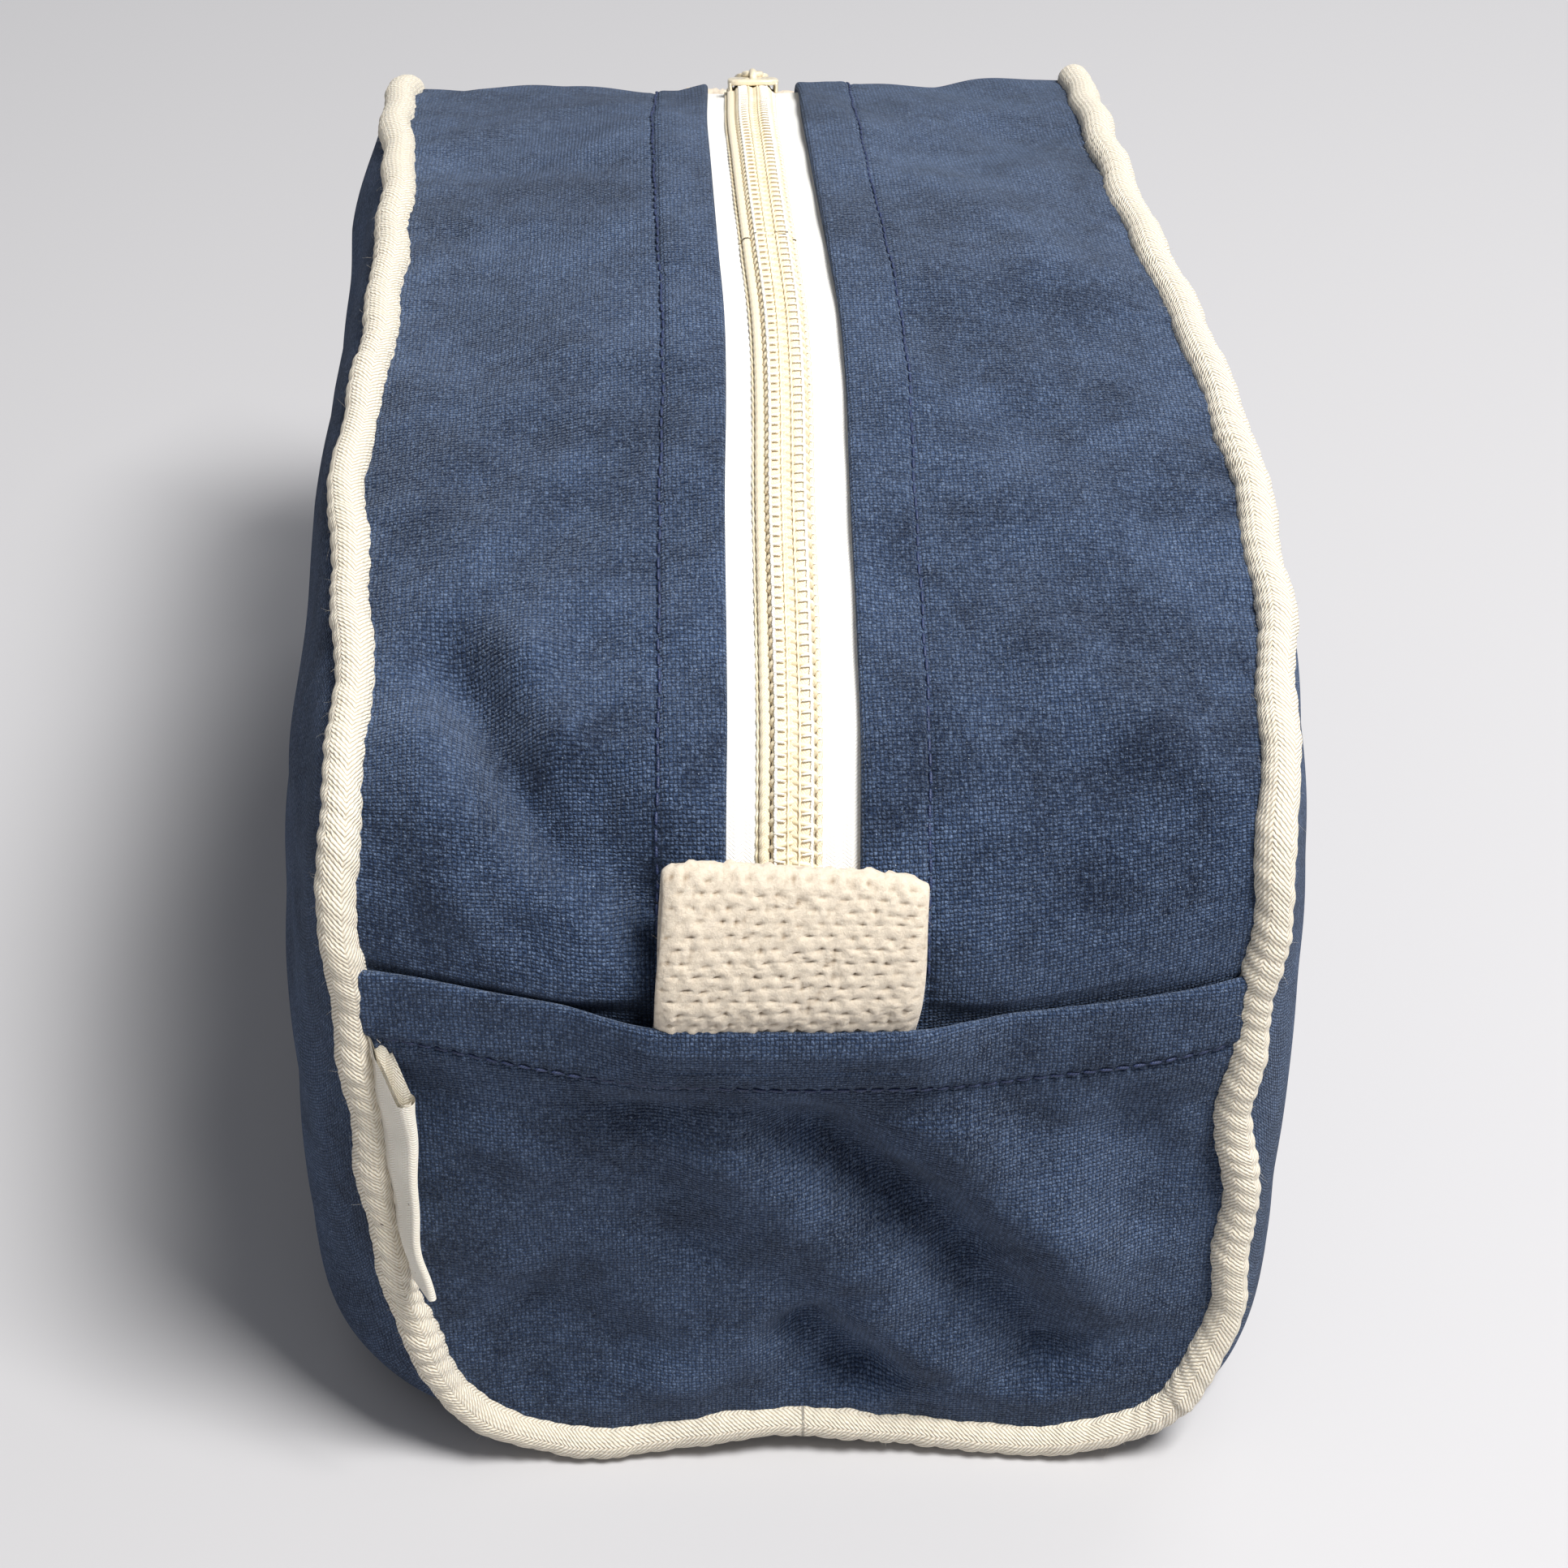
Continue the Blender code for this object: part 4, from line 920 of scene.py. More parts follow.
body_points, body_flat, body_out = body_sheet(150, 130)
inner = body_points - body_out * LINING_GAP
inner[..., 2] = np.maximum(inner[..., 2], 0.0016)
piece = grid_piece("lining_body_sheet", inner, body_flat, lining_cotton, outward=-body_out)
joined(piece, "bag", "lining_cloth", "lining_body")
for end, place in ENDS:
    panel, normal, _ = end_sheets[end]
    panel, normal = panel[::4, ::4], normal[::4, ::4]
    inner = panel - normal * LINING_GAP
    piece = grid_piece("lining_end_" + place, inner, inner[..., [0, 2]] * 1000, lining_cotton, outward=-normal)
    joined(piece, "bag", "lining_cloth", "lining_" + place)
for side, word in SIDES:
    points, flat, station, outward = zip_canvas_sheet(side, 260, 60)
    inner = (points - outward * ZIP_LINING_GAP)[:, :54]
    middle = len(station) // 2
    for end, place, rows in ((-1, "front", slice(0, middle + 1)), (1, "rear", slice(middle, len(station)))):
        name = f"lining_{word}_{place}"
        piece = grid_piece(name, inner[rows], flat[rows, :54], lining_cotton, outward=-outward[rows, :54])
        bends_with(piece, word, end, "lining_cloth", "lining_zip_" + word)


# The binding: cotton tape folded over the raw edges of the seam, on the inside all round.
def binding_ring(rings=700):
    middle, inward, across, far, _ = seam_ring(rings)
    outline = [(0.0048, -0.0008), (0.0048, 0.0008)] + [
        (0.0115 + 0.0010 * sin(pi * i / 8), 0.0010 * cos(pi * i / 8)) for i in range(9)]
    outline = np.array(outline)
    wave = 0.0003 * np.sin(np.arange(len(middle)) * 0.23)[:, None, None]
    deep, wide = outline[None, :, :1], outline[None, :, 1:] + wave
    points = middle[:, None] + inward[:, None] * deep + across[:, None] * wide
    points[..., 2] = np.maximum(points[..., 2], 0.0030)
    around = length_along(outline)
    flat = np.stack(np.broadcast_arrays(far[:, None], around[None]), -1) * 1000
    return points, flat, points - (middle + inward * 0.008)[:, None]


ring_points, ring_flat, ring_out = binding_ring()
binding = grid_piece("binding_ring", ring_points, ring_flat, piping_tape, ring=(True, True), outward=ring_out)
joined(binding, "bag", "cotton_twill", "seam_binding")


# The topstitching: navy polyester thread. One row holds each hem down and one row runs along each zip edge.
def thread_finish(name, light, dark, gloss):
    """Twisted sewing thread: slanting ply lines with painted shade in the grooves between the plies, and a soft
    sheen.
    """
    made, sh, skin = new_finish(name)
    flat, place = cloth_place(sh)
    along, round_it = sh.split(flat)[:2]
    ply = sh.math("ABSOLUTE", sh.math("SINE", sh.total((along, 7.0), (round_it, 4.0))))
    cloud = sh.noise(place, 500, 2, 0.6)
    # Painted shade: the grooves between the plies take the dark colour.
    base = sh.mix(sh.span(ply, 0.05, 0.6), dark, light)
    base = sh.mix(sh.span(cloud, 0.4, 0.7, 0, 0.4), base, dark)
    sh.feed(skin["Base Color"], base)
    skin["Roughness"].default_value = gloss
    sh.bump(skin["Normal"], ply, 0.6, 0.00006)
    return made


navy_thread = thread_finish("navy_thread", (0.028, 0.046, 0.125, 1), (0.010, 0.016, 0.045, 1), 0.5)


def rim(angle, across, up):
    """Ways out from the middle of each thread, one for each angle round it."""
    return np.cos(angle)[None, :, None] * across[:, None] - np.sin(angle)[None, :, None] * up[:, None]


def rods(name, start, stop, lift, radius, finish, arch=0.3, spokes=6):
    """Many short threads in one mesh, each from start to stop and arched along lift."""
    t = np.array([-1, -0.88, -0.5, 0.0, 0.5, 0.88, 1])
    fat = np.array([0.25, 0.75, 1, 1, 1, 0.75, 0.25]) * radius
    middle, reach = (start + stop) / 2, (stop - start) / 2
    bow = ((1 - t**2) * arch * radius)[None, :, None]
    line = middle[:, None] + reach[:, None] * t[None, :, None] + lift[:, None] * bow
    across = unit(np.cross(reach, lift))
    up = unit(np.cross(across, reach))
    angle = np.linspace(0, 2 * pi, spokes, endpoint=False)
    points = line[:, :, None] + rim(angle, across, up)[:, None] * fat[None, :, None, None]
    count = len(start)
    length = np.linalg.norm(reach, axis=1)[:, None] * t[None] * 1000
    place = np.arange(count)[:, None] * 3.0 + length
    flat = np.stack(np.broadcast_arrays(place[:, :, None], (angle * radius * 1000)[None, None]), -1)
    return grid_piece(name, points.reshape(-1, spokes, 3), flat.reshape(-1, spokes, 2), finish,
                      ring=(False, True), every=len(t))


station_table = np.linspace(-2.3, 2.3, 4601)
length_table = length_of(station_table)


def zip_place(out, high, length):
    """A point above the zip strip and the way up there. out is the distance right of the zip's middle."""
    out, high, length = np.broadcast_arrays(*(np.asarray(v, float) for v in (out, high, length)))
    station = np.interp(length, length_table, station_table)
    share = share_of(zip_middle(station) / 1000 + out, station)
    base = strip_at(share, station)
    up = unit(np.cross(strip_at(share + 1e-3, station) - base, strip_at(share, station + 1e-3) - base))
    up = up * np.sign(np.sum(up * (base - np.array([0, 0, 0.06])), -1))[..., None]
    return base + up * high[..., None], up


def by_halves(word, length, slot_name, plain_solid, make, *more_solids):
    """Makes the front and rear halves of a row of things along the zip and passes each to bends_with, as the canvas
    halves are.
    """
    for end, place, mine in ((-1, "front", length <= 0), (1, "rear", length >= 0)):
        bends_with(make(place, mine), word, end, slot_name, f"{plain_solid}_{word}_{place}", *more_solids)


chance = np.random.default_rng(7)
for side, word in SIDES:
    places = np.arange(-0.152, 0.152, STITCH)
    places = places + 0.00013 * chance.standard_normal(len(places))
    station = np.interp(places, length_table, station_table)
    keep = np.abs(station) < 1.955
    places, station = places[keep], station[keep]
    row = side * (zip_gap(station) / 1000 + TOPSTITCH) + 0.00012 * np.sin(places * 400)
    first, up = zip_place(row, 0.00008, places - 0.00105)
    second, _ = zip_place(row, 0.00008, places + 0.00105)
    fold_free = ripples(first, 11 + side, 0.060, 0.0007) + ripples(first, 21 + side, 0.019, 0.00030)
    x = zip_middle(station) / 1000 + row
    shift = up * (fold_free + creased(x, places, TOP_FOLDS))[:, None]
    first, second = first + shift, second + shift
    by_halves(word, places, "navy_thread", "zip_canvas", lambda place, mine: rods(
        f"zip_stitches_{word}_{place}", first[mine], second[mine], up[mine], 0.00026, navy_thread))

for end, place in ENDS:
    panel, normal, down = end_sheets[end]
    row = np.argmin(np.abs(down - HEM_DEPTH), axis=0)
    column = np.arange(panel.shape[1])
    line, up = panel[row, column], normal[row, column]
    line = line.copy()
    line[:, 2] += (down[row, column] - HEM_DEPTH)
    far = length_along(line)
    places = np.arange(0.006, far[-1] - 0.006, STITCH)
    along = lambda at, what: np.stack([np.interp(at, far, what[:, i]) for i in range(3)], -1)
    first, second, lift = along(places, line), along(places + 0.0021, line), unit(along(places, up))
    first, second = first + lift * 0.00010, second + lift * 0.00010
    stitches = rods("hem_stitches_" + place, first, second, lift, 0.00027, navy_thread)
    joined(stitches, "bag", "navy_thread", "hem_stitch_" + place)


# The zip's coils: a cream nylon filament wound in loops along each tape, sewn down with white thread over a
# filler cord. The loops of one side stand between those of the other.
PITCH = 0.0020
COIL_WIDE, COIL_HIGH, FILAMENT = 0.00178, 0.00070, 0.00042
COIL_OUT = 0.00160


def nylon_finish():
    made, sh, skin = new_finish("coil_nylon")
    _, place = cloth_place(sh)
    cloud = sh.noise(place, 240, 2, 0.6)
    fine = sh.noise(place, 2600, 2, 0.6)
    base = sh.mix(sh.span(cloud, 0.3, 0.7), (0.80, 0.66, 0.44, 1), (0.90, 0.80, 0.60, 1))
    base = sh.mix(sh.span(fine, 0.5, 0.75, 0, 0.3), base, (0.95, 0.88, 0.74, 1))
    sh.feed(skin["Base Color"], base)
    sh.feed(skin["Roughness"], sh.span(fine, 0.3, 0.7, 0.32, 0.46))
    sh.plain(skin, {"Subsurface Weight": 0.18, "Subsurface Radius": (1.0, 0.75, 0.45),
                    "Subsurface Scale": 0.001})
    sh.bump(skin["Normal"], fine, 0.25, 0.00005)
    return made


coil_nylon = nylon_finish()
white_thread = thread_finish("white_sewing_thread", (0.93, 0.91, 0.86, 1), (0.70, 0.64, 0.53, 1), 0.6)
cream_cord = cotton_tape_finish("coil_edge_cord", (0.90, 0.82, 0.65, 1), (0.68, 0.54, 0.34, 1), 0.5, 1.0, 0.00006)


def tube(name, path, upward, radius, finish, spokes=8, flat_over=1.0):
    """A thread along a path. flat_over below 1 presses it flat against the cloth."""
    run = unit(np.gradient(path, axis=0))
    across = unit(np.cross(run, upward))
    up = unit(np.cross(across, run))
    angle = np.linspace(0, 2 * pi, spokes, endpoint=False)
    radius = np.broadcast_to(radius, len(path))
    points = path[:, None] + rim(angle, across, up * flat_over) * radius[:, None, None]
    far = length_along(path) * 1000
    flat = np.stack(np.broadcast_arrays(far[:, None], (angle * radius.mean() * 1000)[None]), -1)
    return grid_piece(name, points, flat, finish, ring=(False, True))


REACH = 0.1465
for side, word in SIDES:
    phase = 0.0 if side < 0 else pi
    count = int(2 * REACH / PITCH)
    turn = np.linspace(0, 2 * pi * count, count * 12 + 1)
    length = -REACH + turn / (2 * pi) * PITCH
    # The loops lean a little, as wound filament does.
    out = side * (COIL_OUT + COIL_WIDE * np.cos(turn + phase))
    high = -TAPE_DROP + 0.0012 + COIL_HIGH * np.sin(turn + phase)
    path, up = zip_place(out, high, length + 0.00018 * np.sin(turn + phase))
    reference = np.tile(np.array([[0.0, 1.0, 0.0]]), (len(path), 1)) + 0.3 * up
    by_halves(word, length, "zip_teeth", "zip_teeth", lambda place, mine: tube(
        f"coil_{word}_{place}", path[mine], reference[mine], FILAMENT, coil_nylon, 7), f"zip_teeth_{word}")

    length = np.linspace(-REACH, REACH, 900)
    wobble = 0.00006 * np.sin(length * 2 * pi / PITCH)
    cords = [("filler", 0.0018, -TAPE_DROP + 0.00125, 0.00145, cream_cord, 0.50),
             ("centre", 0.0002, -TAPE_DROP + 0.0012, 0.0009, cream_cord, 0.7),
             ("inner_stitch", 0.00085, -TAPE_DROP + 0.0022, 0.00017, coil_nylon, 0.8),
             ("outer_stitch", 0.00275, -TAPE_DROP + 0.0021, 0.00024, white_thread, 0.8)]
    # On the left, a thin tan thread outside the edge strip is a painted shadow line where the strip steps down to the
    # tape.
    if side < 0:
        cords += [("edge", 0.0043, -TAPE_DROP + 0.0007, 0.00085, cream_cord, 0.8),
                  ("edge_line", 0.0054, -TAPE_DROP + 0.00015, 0.00022, coil_nylon, 0.7)]
    else:
        cords += [("edge", 0.0039, -TAPE_DROP + 0.0004, 0.00050, cream_cord, 0.8)]
    for label, away, tall, radius, finish, press in cords:
        path, up = zip_place(side * (away + wobble), tall + wobble, length)
        by_halves(word, length, "zip_teeth", "zip_teeth", lambda place, mine: tube(
            f"coil_{label}_{word}_{place}", path[mine], up[mine], radius, finish, 10, press))

    places = np.arange(-REACH, REACH, PITCH) + (0.0 if side < 0 else PITCH / 2)
    for label, near_out, far_out, tall, drop, radius in (
            ("tick", 0.0012, 0.0030, -TAPE_DROP + 0.00232, 0.0003, 0.00019),
            ("tie", 0.0030, 0.0044, -TAPE_DROP + 0.0013, 0.0007, 0.00017)):
        first, up = zip_place(side * near_out, tall, places)
        second, _ = zip_place(side * far_out, tall - drop, places + 0.00025)
        by_halves(word, places, "zip_teeth", "zip_teeth", lambda place, mine: rods(
            f"coil_{label}s_{word}_{place}", first[mine], second[mine], up[mine], radius, white_thread, 0.8))


# The slider and its puller: die-cast metal with ivory enamel, rubbed at the edges. It parks at the far end.
def enamel_finish():
    made, sh, skin = new_finish("ivory_enamel")
    place = sh.node("TexCoord").outputs["Object"]
    cloud = sh.noise(place, 300, 3, 0.6)
    chip = sh.noise(place, 1500, 3, 0.7)
    edge = sh.node("NewGeometry").outputs["Pointiness"]
    base = sh.mix(sh.span(cloud, 0.3, 0.7), (0.80, 0.69, 0.48, 1), (0.87, 0.78, 0.60, 1))
    worn = sh.math("MULTIPLY", sh.span(edge, 0.52, 0.60), sh.span(chip, 0.45, 0.6))
    base = sh.mix(worn, base, (0.55, 0.52, 0.46, 1))
    sh.feed(skin["Base Color"], base)
    sh.feed(skin["Metallic"], sh.math("MULTIPLY", worn, 0.8))
    sh.feed(skin["Roughness"], sh.span(chip, 0.3, 0.7, 0.28, 0.42))
    sh.plain(skin, {"Coat Weight": 0.3, "Coat Roughness": 0.15})
    sh.bump(skin["Normal"], chip, 0.3, 0.00004)
    return made


ivory_enamel = enamel_finish()
SLIDER_LONG, SLIDER_WIDE, PLATE = 0.0112, 0.0102, 0.0011
park_low, park_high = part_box("slider_body")
park_y = (park_low[1] + park_high[1]) / 2


def on_track(points):
    """Points given as (across, along, up) from the slider's middle, laid on the parked slider's track."""
    slope = asin(park_y / ridge_side.crown)
    middle = np.array([-0.0019, park_y, ridge_side.height - ridge_side.crown + ridge_side.crown * cos(slope)])
    along = np.array([0, cos(slope), -sin(slope)])
    up = np.array([0, sin(slope), cos(slope)])
    return middle + points[..., :1] * np.array([1, 0, 0]) + points[..., 1:2] * along + points[..., 2:] * up


def cast_plate(half_wide, half_long, taper, base, thick):
    """A rounded plate with softened edges, its underside at base."""
    angle = np.linspace(0, 2 * pi, 72, endpoint=False)
    c, s = np.cos(angle), np.sin(angle)
    edge_x = np.sign(c) * np.abs(c) ** 0.55 * half_wide * (1 - taper * s)
    edge_y = np.sign(s) * np.abs(s) ** 0.55 * half_long
    soft = min(0.0003, thick / 2.2)
    steps = [(0, 0, 0), (0.5, 0, 0), (1, -soft, 0)]
    steps += [(1, -soft * (1 - sin(a)), -soft * (1 - cos(a))) for a in (0.5, 1.1, pi / 2)]
    steps += [(1, -soft * (1 - cos(a)), -thick + soft * (1 - sin(a))) for a in (0.0, 0.5, 1.1, pi / 2)]
    steps += [(0.5, 0, -thick), (0, 0, -thick)]
    rings = []
    for share, inset, drop in steps:
        size = max(share, 1e-3)
        rings.append(np.stack([edge_x * (size + inset / half_wide), edge_y * (size + inset / half_long),
                               np.full_like(c, base + thick + drop)], -1))
    points = np.stack(rings)
    flat = points[..., :2] * 1000
    return points, flat, points - np.array([0, 0, base + thick / 2])


def slider_half(name, points, flat, outward, ring=(False, True)):
    centre = on_track(np.zeros((1, 3)))
    return grid_piece(name, on_track(points), flat, ivory_enamel, ring=ring, outward=on_track(outward) - centre)


slider_pieces = []
points, flat, outward = cast_plate(SLIDER_WIDE / 2, SLIDER_LONG / 2, 0.10, 0.0010, PLATE)
dome = 1 - (points[..., :1] / (SLIDER_WIDE / 2)) ** 2
points[..., 2:] += 0.0005 * dome * (1 - (points[..., 1:2] / (SLIDER_LONG / 2)) ** 2)
slider_pieces.append(slider_half("slider_top_plate", points, flat, outward))
points, flat, outward = cast_plate(SLIDER_WIDE / 2, SLIDER_LONG / 2, 0.10, -0.0043, 0.0010)
slider_pieces.append(slider_half("slider_bottom_plate", points, flat, outward))
for side in (-1, 1):
    points, flat, outward = cast_plate(0.00045, SLIDER_LONG * 0.42, 0.0, -0.0006, 0.0022)
    points[..., 0] += side * (SLIDER_WIDE / 2 - 0.0005)
    outward = points - np.array([side * (SLIDER_WIDE / 2 - 0.0005), 0, 0.0005])
    slider_pieces.append(slider_half(f"slider_flange_{'left' if side < 0 else 'right'}", points, flat, outward))
points, flat, outward = cast_plate(0.0005, 0.0020, 0.0, -0.0034, 0.0046)
points[..., 1] += 0.0032
slider_pieces.append(slider_half("slider_wedge", points, flat, points - points.mean((0, 1))))
arch = np.linspace(0, pi, 40)
line = np.stack([0 * arch, -0.0036 * np.cos(arch), 0.0019 + 0.0017 * np.sin(arch) ** 0.6], -1)
bridge = tube("slider_bridge", on_track(line), np.tile([[1.0, 0, 0]], (40, 1)), 0.00055, ivory_enamel, 14, 1.3)
slider_pieces.append(bridge)
for piece in slider_pieces:
    joined(piece, "slider", "slider_enamel", "slider_body")

# The puller hangs from the bridge and lies down the far slope.
points, flat, outward = cast_plate(0.0035, 0.0118, 0.10, -0.0005, 0.0010)
points = points + np.array([0, 0.0135, 0])
lie = radians(9)
x, y, z = points[..., 0], points[..., 1], points[..., 2]
laid = np.stack([x, 0.0005 + y * cos(lie), 0.0030 - y * sin(lie) + z], -1)
puller = slider_half("puller_plate", laid, flat, outward)
eye = np.linspace(0, 2 * pi, 40)
line = np.stack([0.0017 * np.cos(eye), 0.0010 + 0.0019 * np.sin(eye), 0.0030 + 0 * eye], -1)
loop = tube("puller_eye", on_track(line), np.tile([[0, 0.4, 0.9]], (40, 1)), 0.00055, ivory_enamel, 12)
for piece in (puller, loop):
    joined(piece, "puller", "slider_enamel", "puller")


# The grab tabs: heavy cotton webbing folded double, its ends sewn in under the hem. Thick two-ply yarns
# stand as rows of small knots, each column half a knot along from the next.
TAB_HALF, WEBBING = 0.0190, 0.0021
KNOT_WIDE, KNOT_LONG = 0.00150, 0.0040


def webbing_finish():
    made, sh, skin = new_finish("cotton_webbing")
    flat, place = cloth_place(sh)
    # Painted shade: the second cloth coordinate is the yarn height, and the low places between the knots are
    # darkened.
    hollow_shade = sh.span(sh.split(flat)[1], 0.0, 0.60, 1.0, 0.0)
    cloud = sh.noise(place, 120, 2, 0.6)
    yarn = sh.noise(place, 1300, 4, 0.7, 0.5)
    hair = sh.noise(place, 4200, 2, 0.7, 0.8)
    base = sh.mix(sh.span(yarn, 0.3, 0.7), (0.56, 0.48, 0.38, 1), (0.76, 0.67, 0.55, 1))
    base = sh.mix(sh.span(cloud, 0.35, 0.7, 0, 0.35), base, (0.70, 0.61, 0.50, 1))
    base = sh.mix(sh.math("MULTIPLY", hollow_shade, 0.75), base, (0.27, 0.19, 0.12, 1))
    base = sh.mix(sh.span(hair, 0.62, 0.75, 0, 0.4), base, (0.94, 0.89, 0.80, 1))
    sh.feed(skin["Base Color"], base)
    sh.plain(skin, {"Roughness": 0.92, "Specular IOR Level": 0.2, "Sheen Weight": 0.25,
                    "Subsurface Weight": 0.05, "Subsurface Radius": (1.0, 0.7, 0.5), "Subsurface Scale": 0.001})
    sh.bump(skin["Normal"], sh.math("ADD", yarn, sh.math("MULTIPLY", hair, 0.5)), 0.9, 0.00016)
    return made


cotton_webbing = webbing_finish()


def tab_path(foot=1.992, top=1.475):
    """The middle of the folded webbing from one sewn end to the other, 0.2 mm apart: points, ways out, distances."""

    def layer(station, lift):
        reach, high = ridge_side.at(station)
        more, higher = ridge_side.at(station + 1e-3)
        run = unit(np.stack([more - reach, higher - high], -1))
        out = np.stack([-run[..., 1], run[..., 0]], -1)
        return np.stack([reach, high], -1) + out * lift, out, run

    # Heights of the two layers over the canvas.
    low, tall = 0.0013, 0.0040
    climb = np.linspace(foot, top, 60)
    # Near its foot the webbing is pressed down under the hem.
    press = np.clip((climb[0] - climb) / 0.17, 0, 1)[:, None]
    press = press * press * (3 - 2 * press)
    lower, _, _ = layer(climb, 0.0004 + (low - 0.0004) * press)
    upper, _, _ = layer(climb[::-1], 0.0021 + (tall - 0.0021) * press[::-1])
    centre, out, run = layer(np.array([top]), (low + tall) / 2)
    angle = np.linspace(0, pi, 30)[1:-1, None]
    half = (tall - low) / 2
    fold = centre - run * half * np.sin(angle) * 1.15 - out * half * np.cos(angle)
    line = np.concatenate([lower, fold, upper])
    far = length_along(line)
    even = np.arange(0, far[-1], 0.0002)
    line = np.stack([np.interp(even, far, line[:, i]) for i in (0, 1)], -1)
    run = unit(np.gradient(line, axis=0))
    out = np.stack([run[:, 1], -run[:, 0]], -1)
    return line, out, even


def knots(x, along, seed):
    """Height of the yarns over the webbing, in metres: long rounded grains, each column half a grain along."""
    drift = 0.00022 * np.sin(along * 700 + x * 90) + 0.00010 * np.sin(along * 1900 + x * 260)
    place = (x + drift) / KNOT_WIDE
    height = np.zeros(place.shape)
    for beside in (-1, 0, 1):
        column = np.floor(place) + beside
        u = place - column - 0.5
        late = np.modf(np.abs(np.sin(column * 12.9898 + seed) * 43.7))[0]
        v = along / KNOT_LONG + 0.5 * (column % 2) + 0.16 * late
        row = np.floor(v)
        v = v - row - 0.5
        odd = np.modf(np.abs(np.sin(row * 7.7 + column * 4.3 + seed) * 91.3))[0]
        lean = (odd - 0.5) * 0.5
        off = u - lean * v
        grain = np.clip(1 - (2 * off / (1.18 + 0.2 * odd)) ** 2 - np.abs(2 * v / 1.08) ** 2.6, 0, 1) ** 0.5
        ply = 0.30 * np.exp(-(((off - 0.35 * v) / 0.075) ** 2))
        height = np.maximum(height, (0.85 + 0.3 * odd) * grain * (1 - ply))
    return 0.00095 * height


def tab_piece(end, name):
    """The folded webbing, with its yarns raised on both faces and its fold sagging to one side."""
    line, out, along = tab_path()
    total = along[-1]
    # Once round the webbing: its knotted face, one rounded edge, the plainer back and the other edge.
    top, under = np.linspace(-TAB_HALF, TAB_HALF, 206), np.linspace(TAB_HALF, -TAB_HALF, 60)
    bend = np.linspace(0, pi, 7)[1:-1]
    selvedge = TAB_HALF + 0.0009 * np.sin(bend)
    x = np.concatenate([top, selvedge, under, -selvedge])
    face = np.concatenate([1 + 0 * top, 0 * bend, -1 + 0 * under, 0 * bend])
    rise = np.concatenate([1 + 0 * top, np.cos(bend), -1 + 0 * under, -np.cos(bend)]) * (WEBBING / 2 - 0.0003)
    edge = 1 - np.clip((np.abs(x) - TAB_HALF + 0.0012) / 0.0016, 0, 1)
    yarn = knots(x[None], along[:, None], 1.0 + end)
    height = rise[None] + yarn * (face * edge)[None]
    on_fold = np.exp(-(((along - total / 2) / 0.008) ** 2))[:, None]
    low = np.abs(1 - along / total * 2)
    shift = -0.0026 - 0.0019 * low[:, None] ** 1.3
    middle = line[:, None, :] + out[:, None, :] * height[..., None]
    droop = 0.0022 * np.clip((x - 0.004) / 0.015, 0, 1) ** 2.2 - 0.0003 * np.clip(-x / 0.019, 0, 1)
    tired = 0.0005 * np.sin(x * 150 + 0.4)
    sink = on_fold * (droop + tired)[None]
    reach, high = middle[..., 0] + sink * 0.55, middle[..., 1] - sink * 0.95
    wide = 1 - 0.010 * np.sin(along * 240)[:, None] * (np.abs(x[None]) > 0.015)
    points = np.stack(np.broadcast_arrays(x[None] * wide - end * shift, end * reach, high), -1)
    # The second cloth coordinate carries the yarn height, used for the painted shade between the knots.
    flat = np.stack(np.broadcast_arrays(along[:, None] * 1000, np.maximum(yarn, 0) * 1000), -1)
    centre = np.stack([0 * line[:, 0] - 0.003, end * line[:, 0], line[:, 1]], -1)[:, None]
    return grid_piece(name, points, flat, cotton_webbing, ring=(False, True), outward=points - centre)


for end, place in ENDS:
    tab = tab_piece(end, "grab_tab_" + place)
    joined(tab, "tab_" + place, "cotton_webbing", "end_tab_" + place)


# The side label: a plain folded cotton tape, its cut edges caught in the front left seam. Its fold stands
# off the bag, open at the top like a flattened loop.
label_tape = cotton_tape_finish("label_twill", (0.95, 0.92, 0.84, 1), (0.74, 0.66, 0.53, 1), 0.5, 1.6, 0.00010, 0.8)


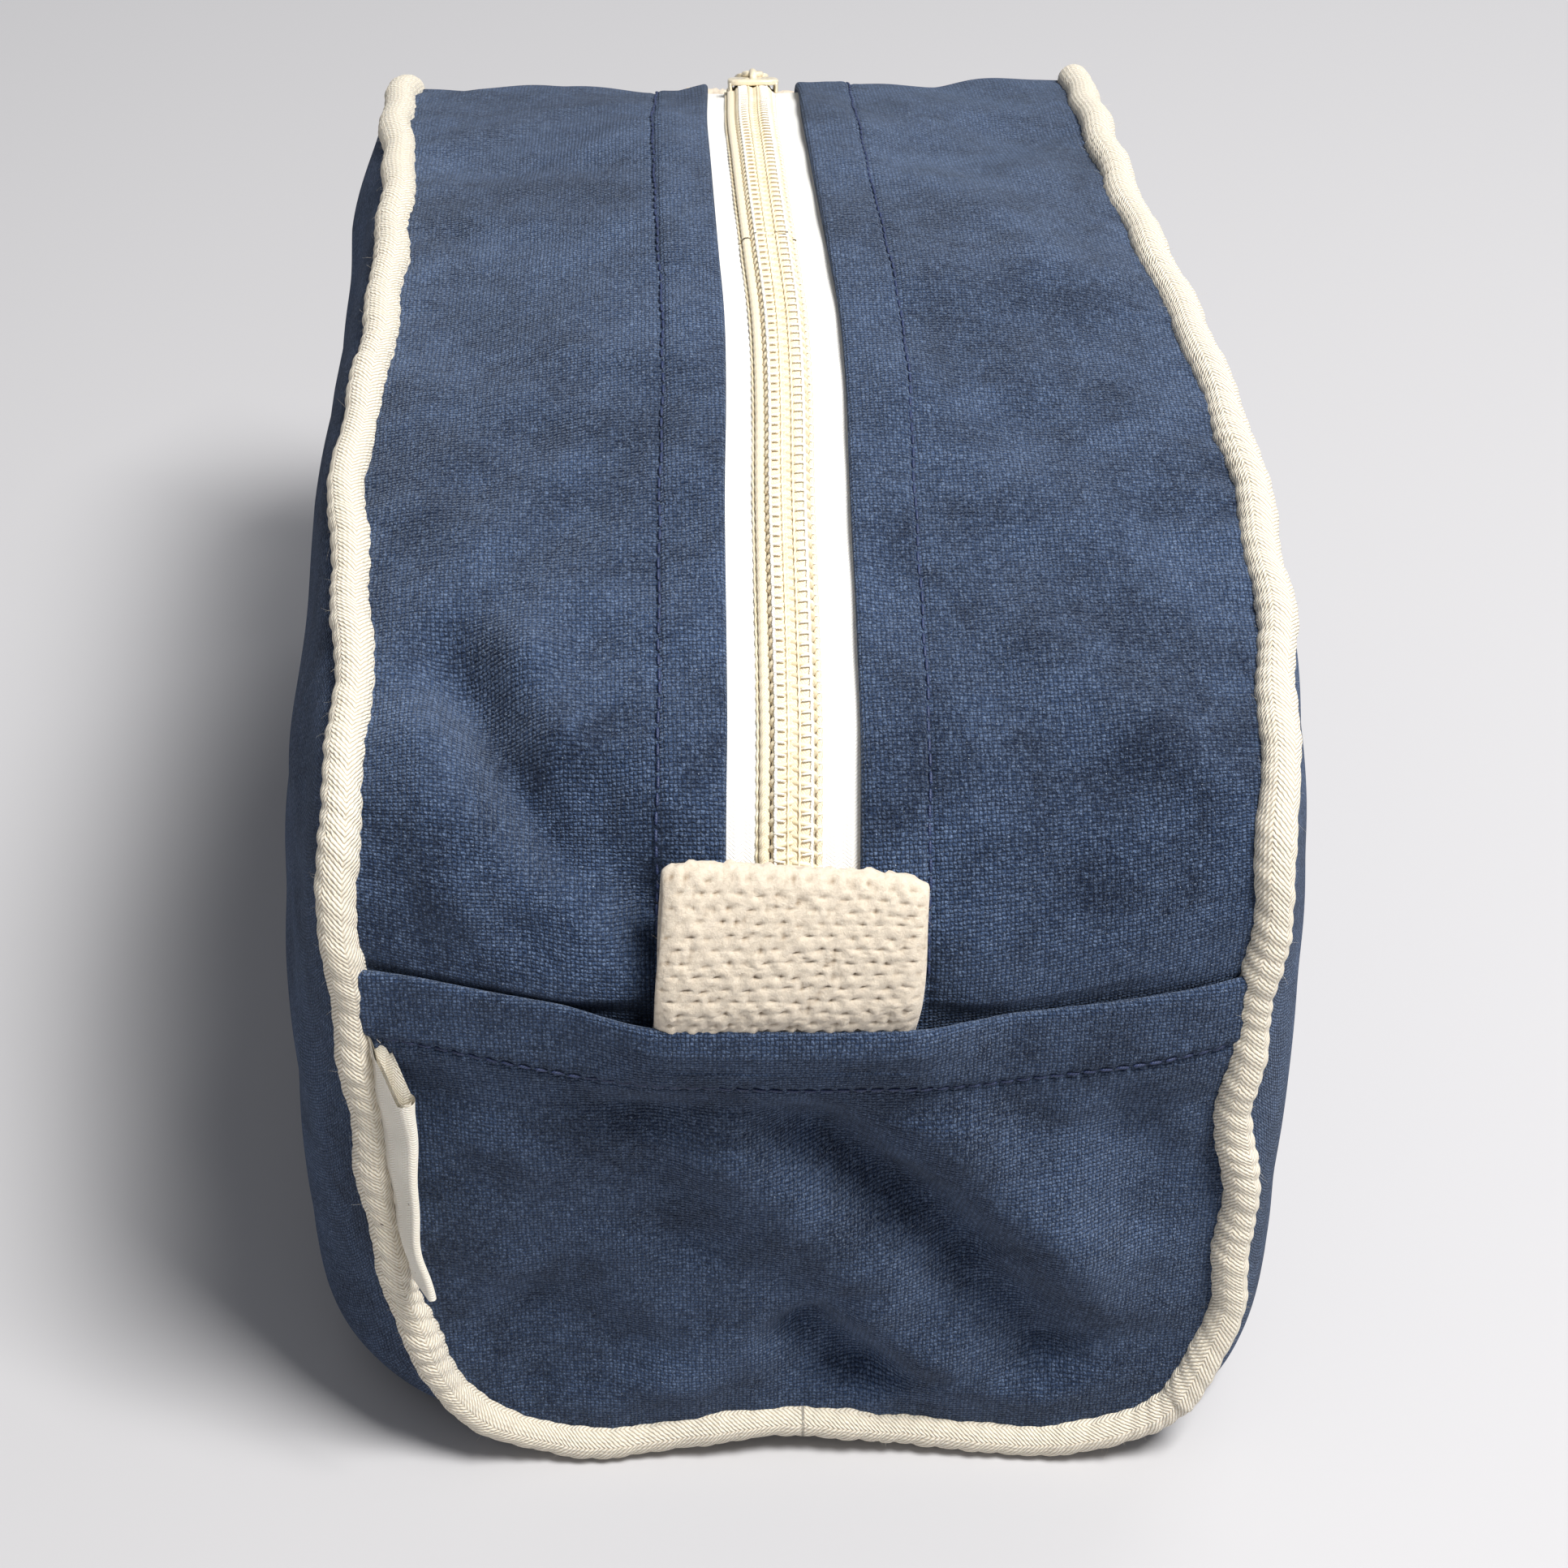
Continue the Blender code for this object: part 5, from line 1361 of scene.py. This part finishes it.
def label_piece(rows=150):
    """Rows run up the label. Each row goes once round its outer face, then back along its inner one."""
    k = np.linspace(0, 1, rows)[:, None]
    depth = 0.0064 - 0.0006 * k
    loop = 0.00040 + 0.0010 * k**4
    lean = radians(33) + radians(22) * k[:, 0] ** 2
    leaf, turns = np.linspace(0, 1, 24), np.linspace(0, pi, 16)[1:-1]
    share = np.concatenate([leaf, 1 + 0 * turns, leaf[::-1]])
    across_loop = np.concatenate([-1 + 0 * leaf, -np.cos(turns), 1 + 0 * leaf])[None] * np.clip(share * 3, 0.25, 1)
    faces = []
    for half_thick in (0.0003, -0.0003):
        r = loop + half_thick
        u = np.concatenate([leaf * depth, depth + r * np.sin(turns), leaf[::-1] * depth], 1)
        faces.append((u, across_loop * r))
    u, v = (np.concatenate([outer, inner[:, ::-1]], 1) for outer, inner in zip(*faces))
    part = np.clip(u / depth, 0, 1)
    top = 0.0975 - 0.0105 * part**1.2
    bottom = 0.0475 - 0.0022 * part
    z = bottom + (top - bottom) * k
    run = FOOT_RUN + CORNER_RUN + (z - SEAM_FOOT - CORNER)
    root, strip, _ = seam_line(-1, run)
    root = root + strip * 0.0024 + np.array([0, -0.0019, 0])
    along = np.stack([np.sin(lean), -np.cos(lean), 0 * lean], -1)[:, None]
    across = np.stack([np.cos(lean), np.sin(lean), 0 * lean], -1)[:, None]
    wave = 0.0004 * np.sin(z * 190) * part + 0.0002 * np.sin(z * 420)
    points = root + along * u[..., None] + across * (v + wave)[..., None]
    points[..., 2] = z
    flat = np.stack(np.broadcast_arrays(z * 1000, u * 1000 + 0 * z), -1)
    return grid_piece("side_label_tape", points, flat, label_tape, ring=(False, True))


label = label_piece()
joined(label, "bag", "cotton_twill", "side_label")


# Loose fibres: fluff standing off the piping, the webbing and the canvas.
def hairs(name, root, out, along, length, radius, finish, seed):
    """Curved fibres in one mesh, each leaving its root and bending over."""
    dice = np.random.default_rng(seed)
    count = len(root)
    t = np.linspace(0, 1, 6)
    lean = unit(out + 0.9 * along * dice.standard_normal((count, 1)) + 0.35 * dice.standard_normal((count, 3)))
    bend = unit(along * np.sign(dice.standard_normal((count, 1))) + 0.5 * dice.standard_normal((count, 3)))
    long = length * (0.4 + 0.9 * dice.random(count))[:, None, None]
    line = root[:, None] + long * (lean[:, None] * t[None, :, None] + 0.7 * bend[:, None] * (t**2)[None, :, None])
    across = unit(np.cross(lean, bend))
    up = unit(np.cross(across, lean))
    angle = np.array([0, 2.1, 4.2])
    fat = radius * (1 - 0.7 * t)
    points = line[:, :, None] + rim(angle, across, up)[:, None] * fat[None, :, None, None]
    points[..., 2] = np.maximum(points[..., 2], 0.0001)
    far = (t * 4)[None, :, None] + np.arange(count)[:, None, None]
    flat = np.stack(np.broadcast_arrays(far, angle[None, None]), -1)
    return grid_piece(name, points.reshape(-1, 3, 3), flat.reshape(-1, 3, 2), finish,
                      ring=(False, True), every=len(t))


fluff_cream = thread_finish("cotton_fluff", (0.93, 0.88, 0.78, 1), (0.78, 0.70, 0.56, 1), 0.8)
fluff_navy = thread_finish("navy_fluff", (0.13, 0.18, 0.28, 1), (0.04, 0.06, 0.11, 1), 0.8)
dice = np.random.default_rng(12)


def fluff_on(piece, name, body, slot_name, count, length, radius, finish, seed, grows):
    """Fibres on the points of a piece where grows, given points and normals, says so."""
    mesh = piece.data
    points, normals = np.empty((2, len(mesh.vertices), 3), np.float32)
    mesh.vertices.foreach_get("co", points.ravel())
    mesh.vertex_normals.foreach_get("vector", normals.ravel())
    pick = np.random.default_rng(seed).choice(np.flatnonzero(grows(points, normals)), count)
    out = normals[pick]
    side = unit(np.cross(out, dice.standard_normal((count, 3))))
    fluff = hairs(name, points[pick] - out * 0.0001, out.astype(float), side, length, radius, finish, seed)
    joined(fluff, body, slot_name)


fluff_on(piping, "piping_fluff", "bag", "cotton_twill", 1500, 0.0013, 0.000022, fluff_cream, 21,
         lambda points, normals: points[:, 2] > 0.002)
for end, place in ENDS:
    fluff_on(bpy.data.objects["grab_tab_" + place], "tab_fluff_" + place, "tab_" + place, "cotton_webbing",
             420, 0.0012, 0.000022, fluff_cream, 31 + end, lambda points, normals: end * points[:, 1] > 0.128)
    fluff_on(bpy.data.objects["end_canvas_" + place], "canvas_fluff_" + place, "bag", "navy_canvas",
             900, 0.0009, 0.000020, fluff_navy, 41 + end, lambda points, normals: end * normals[:, 1] > 0.3)
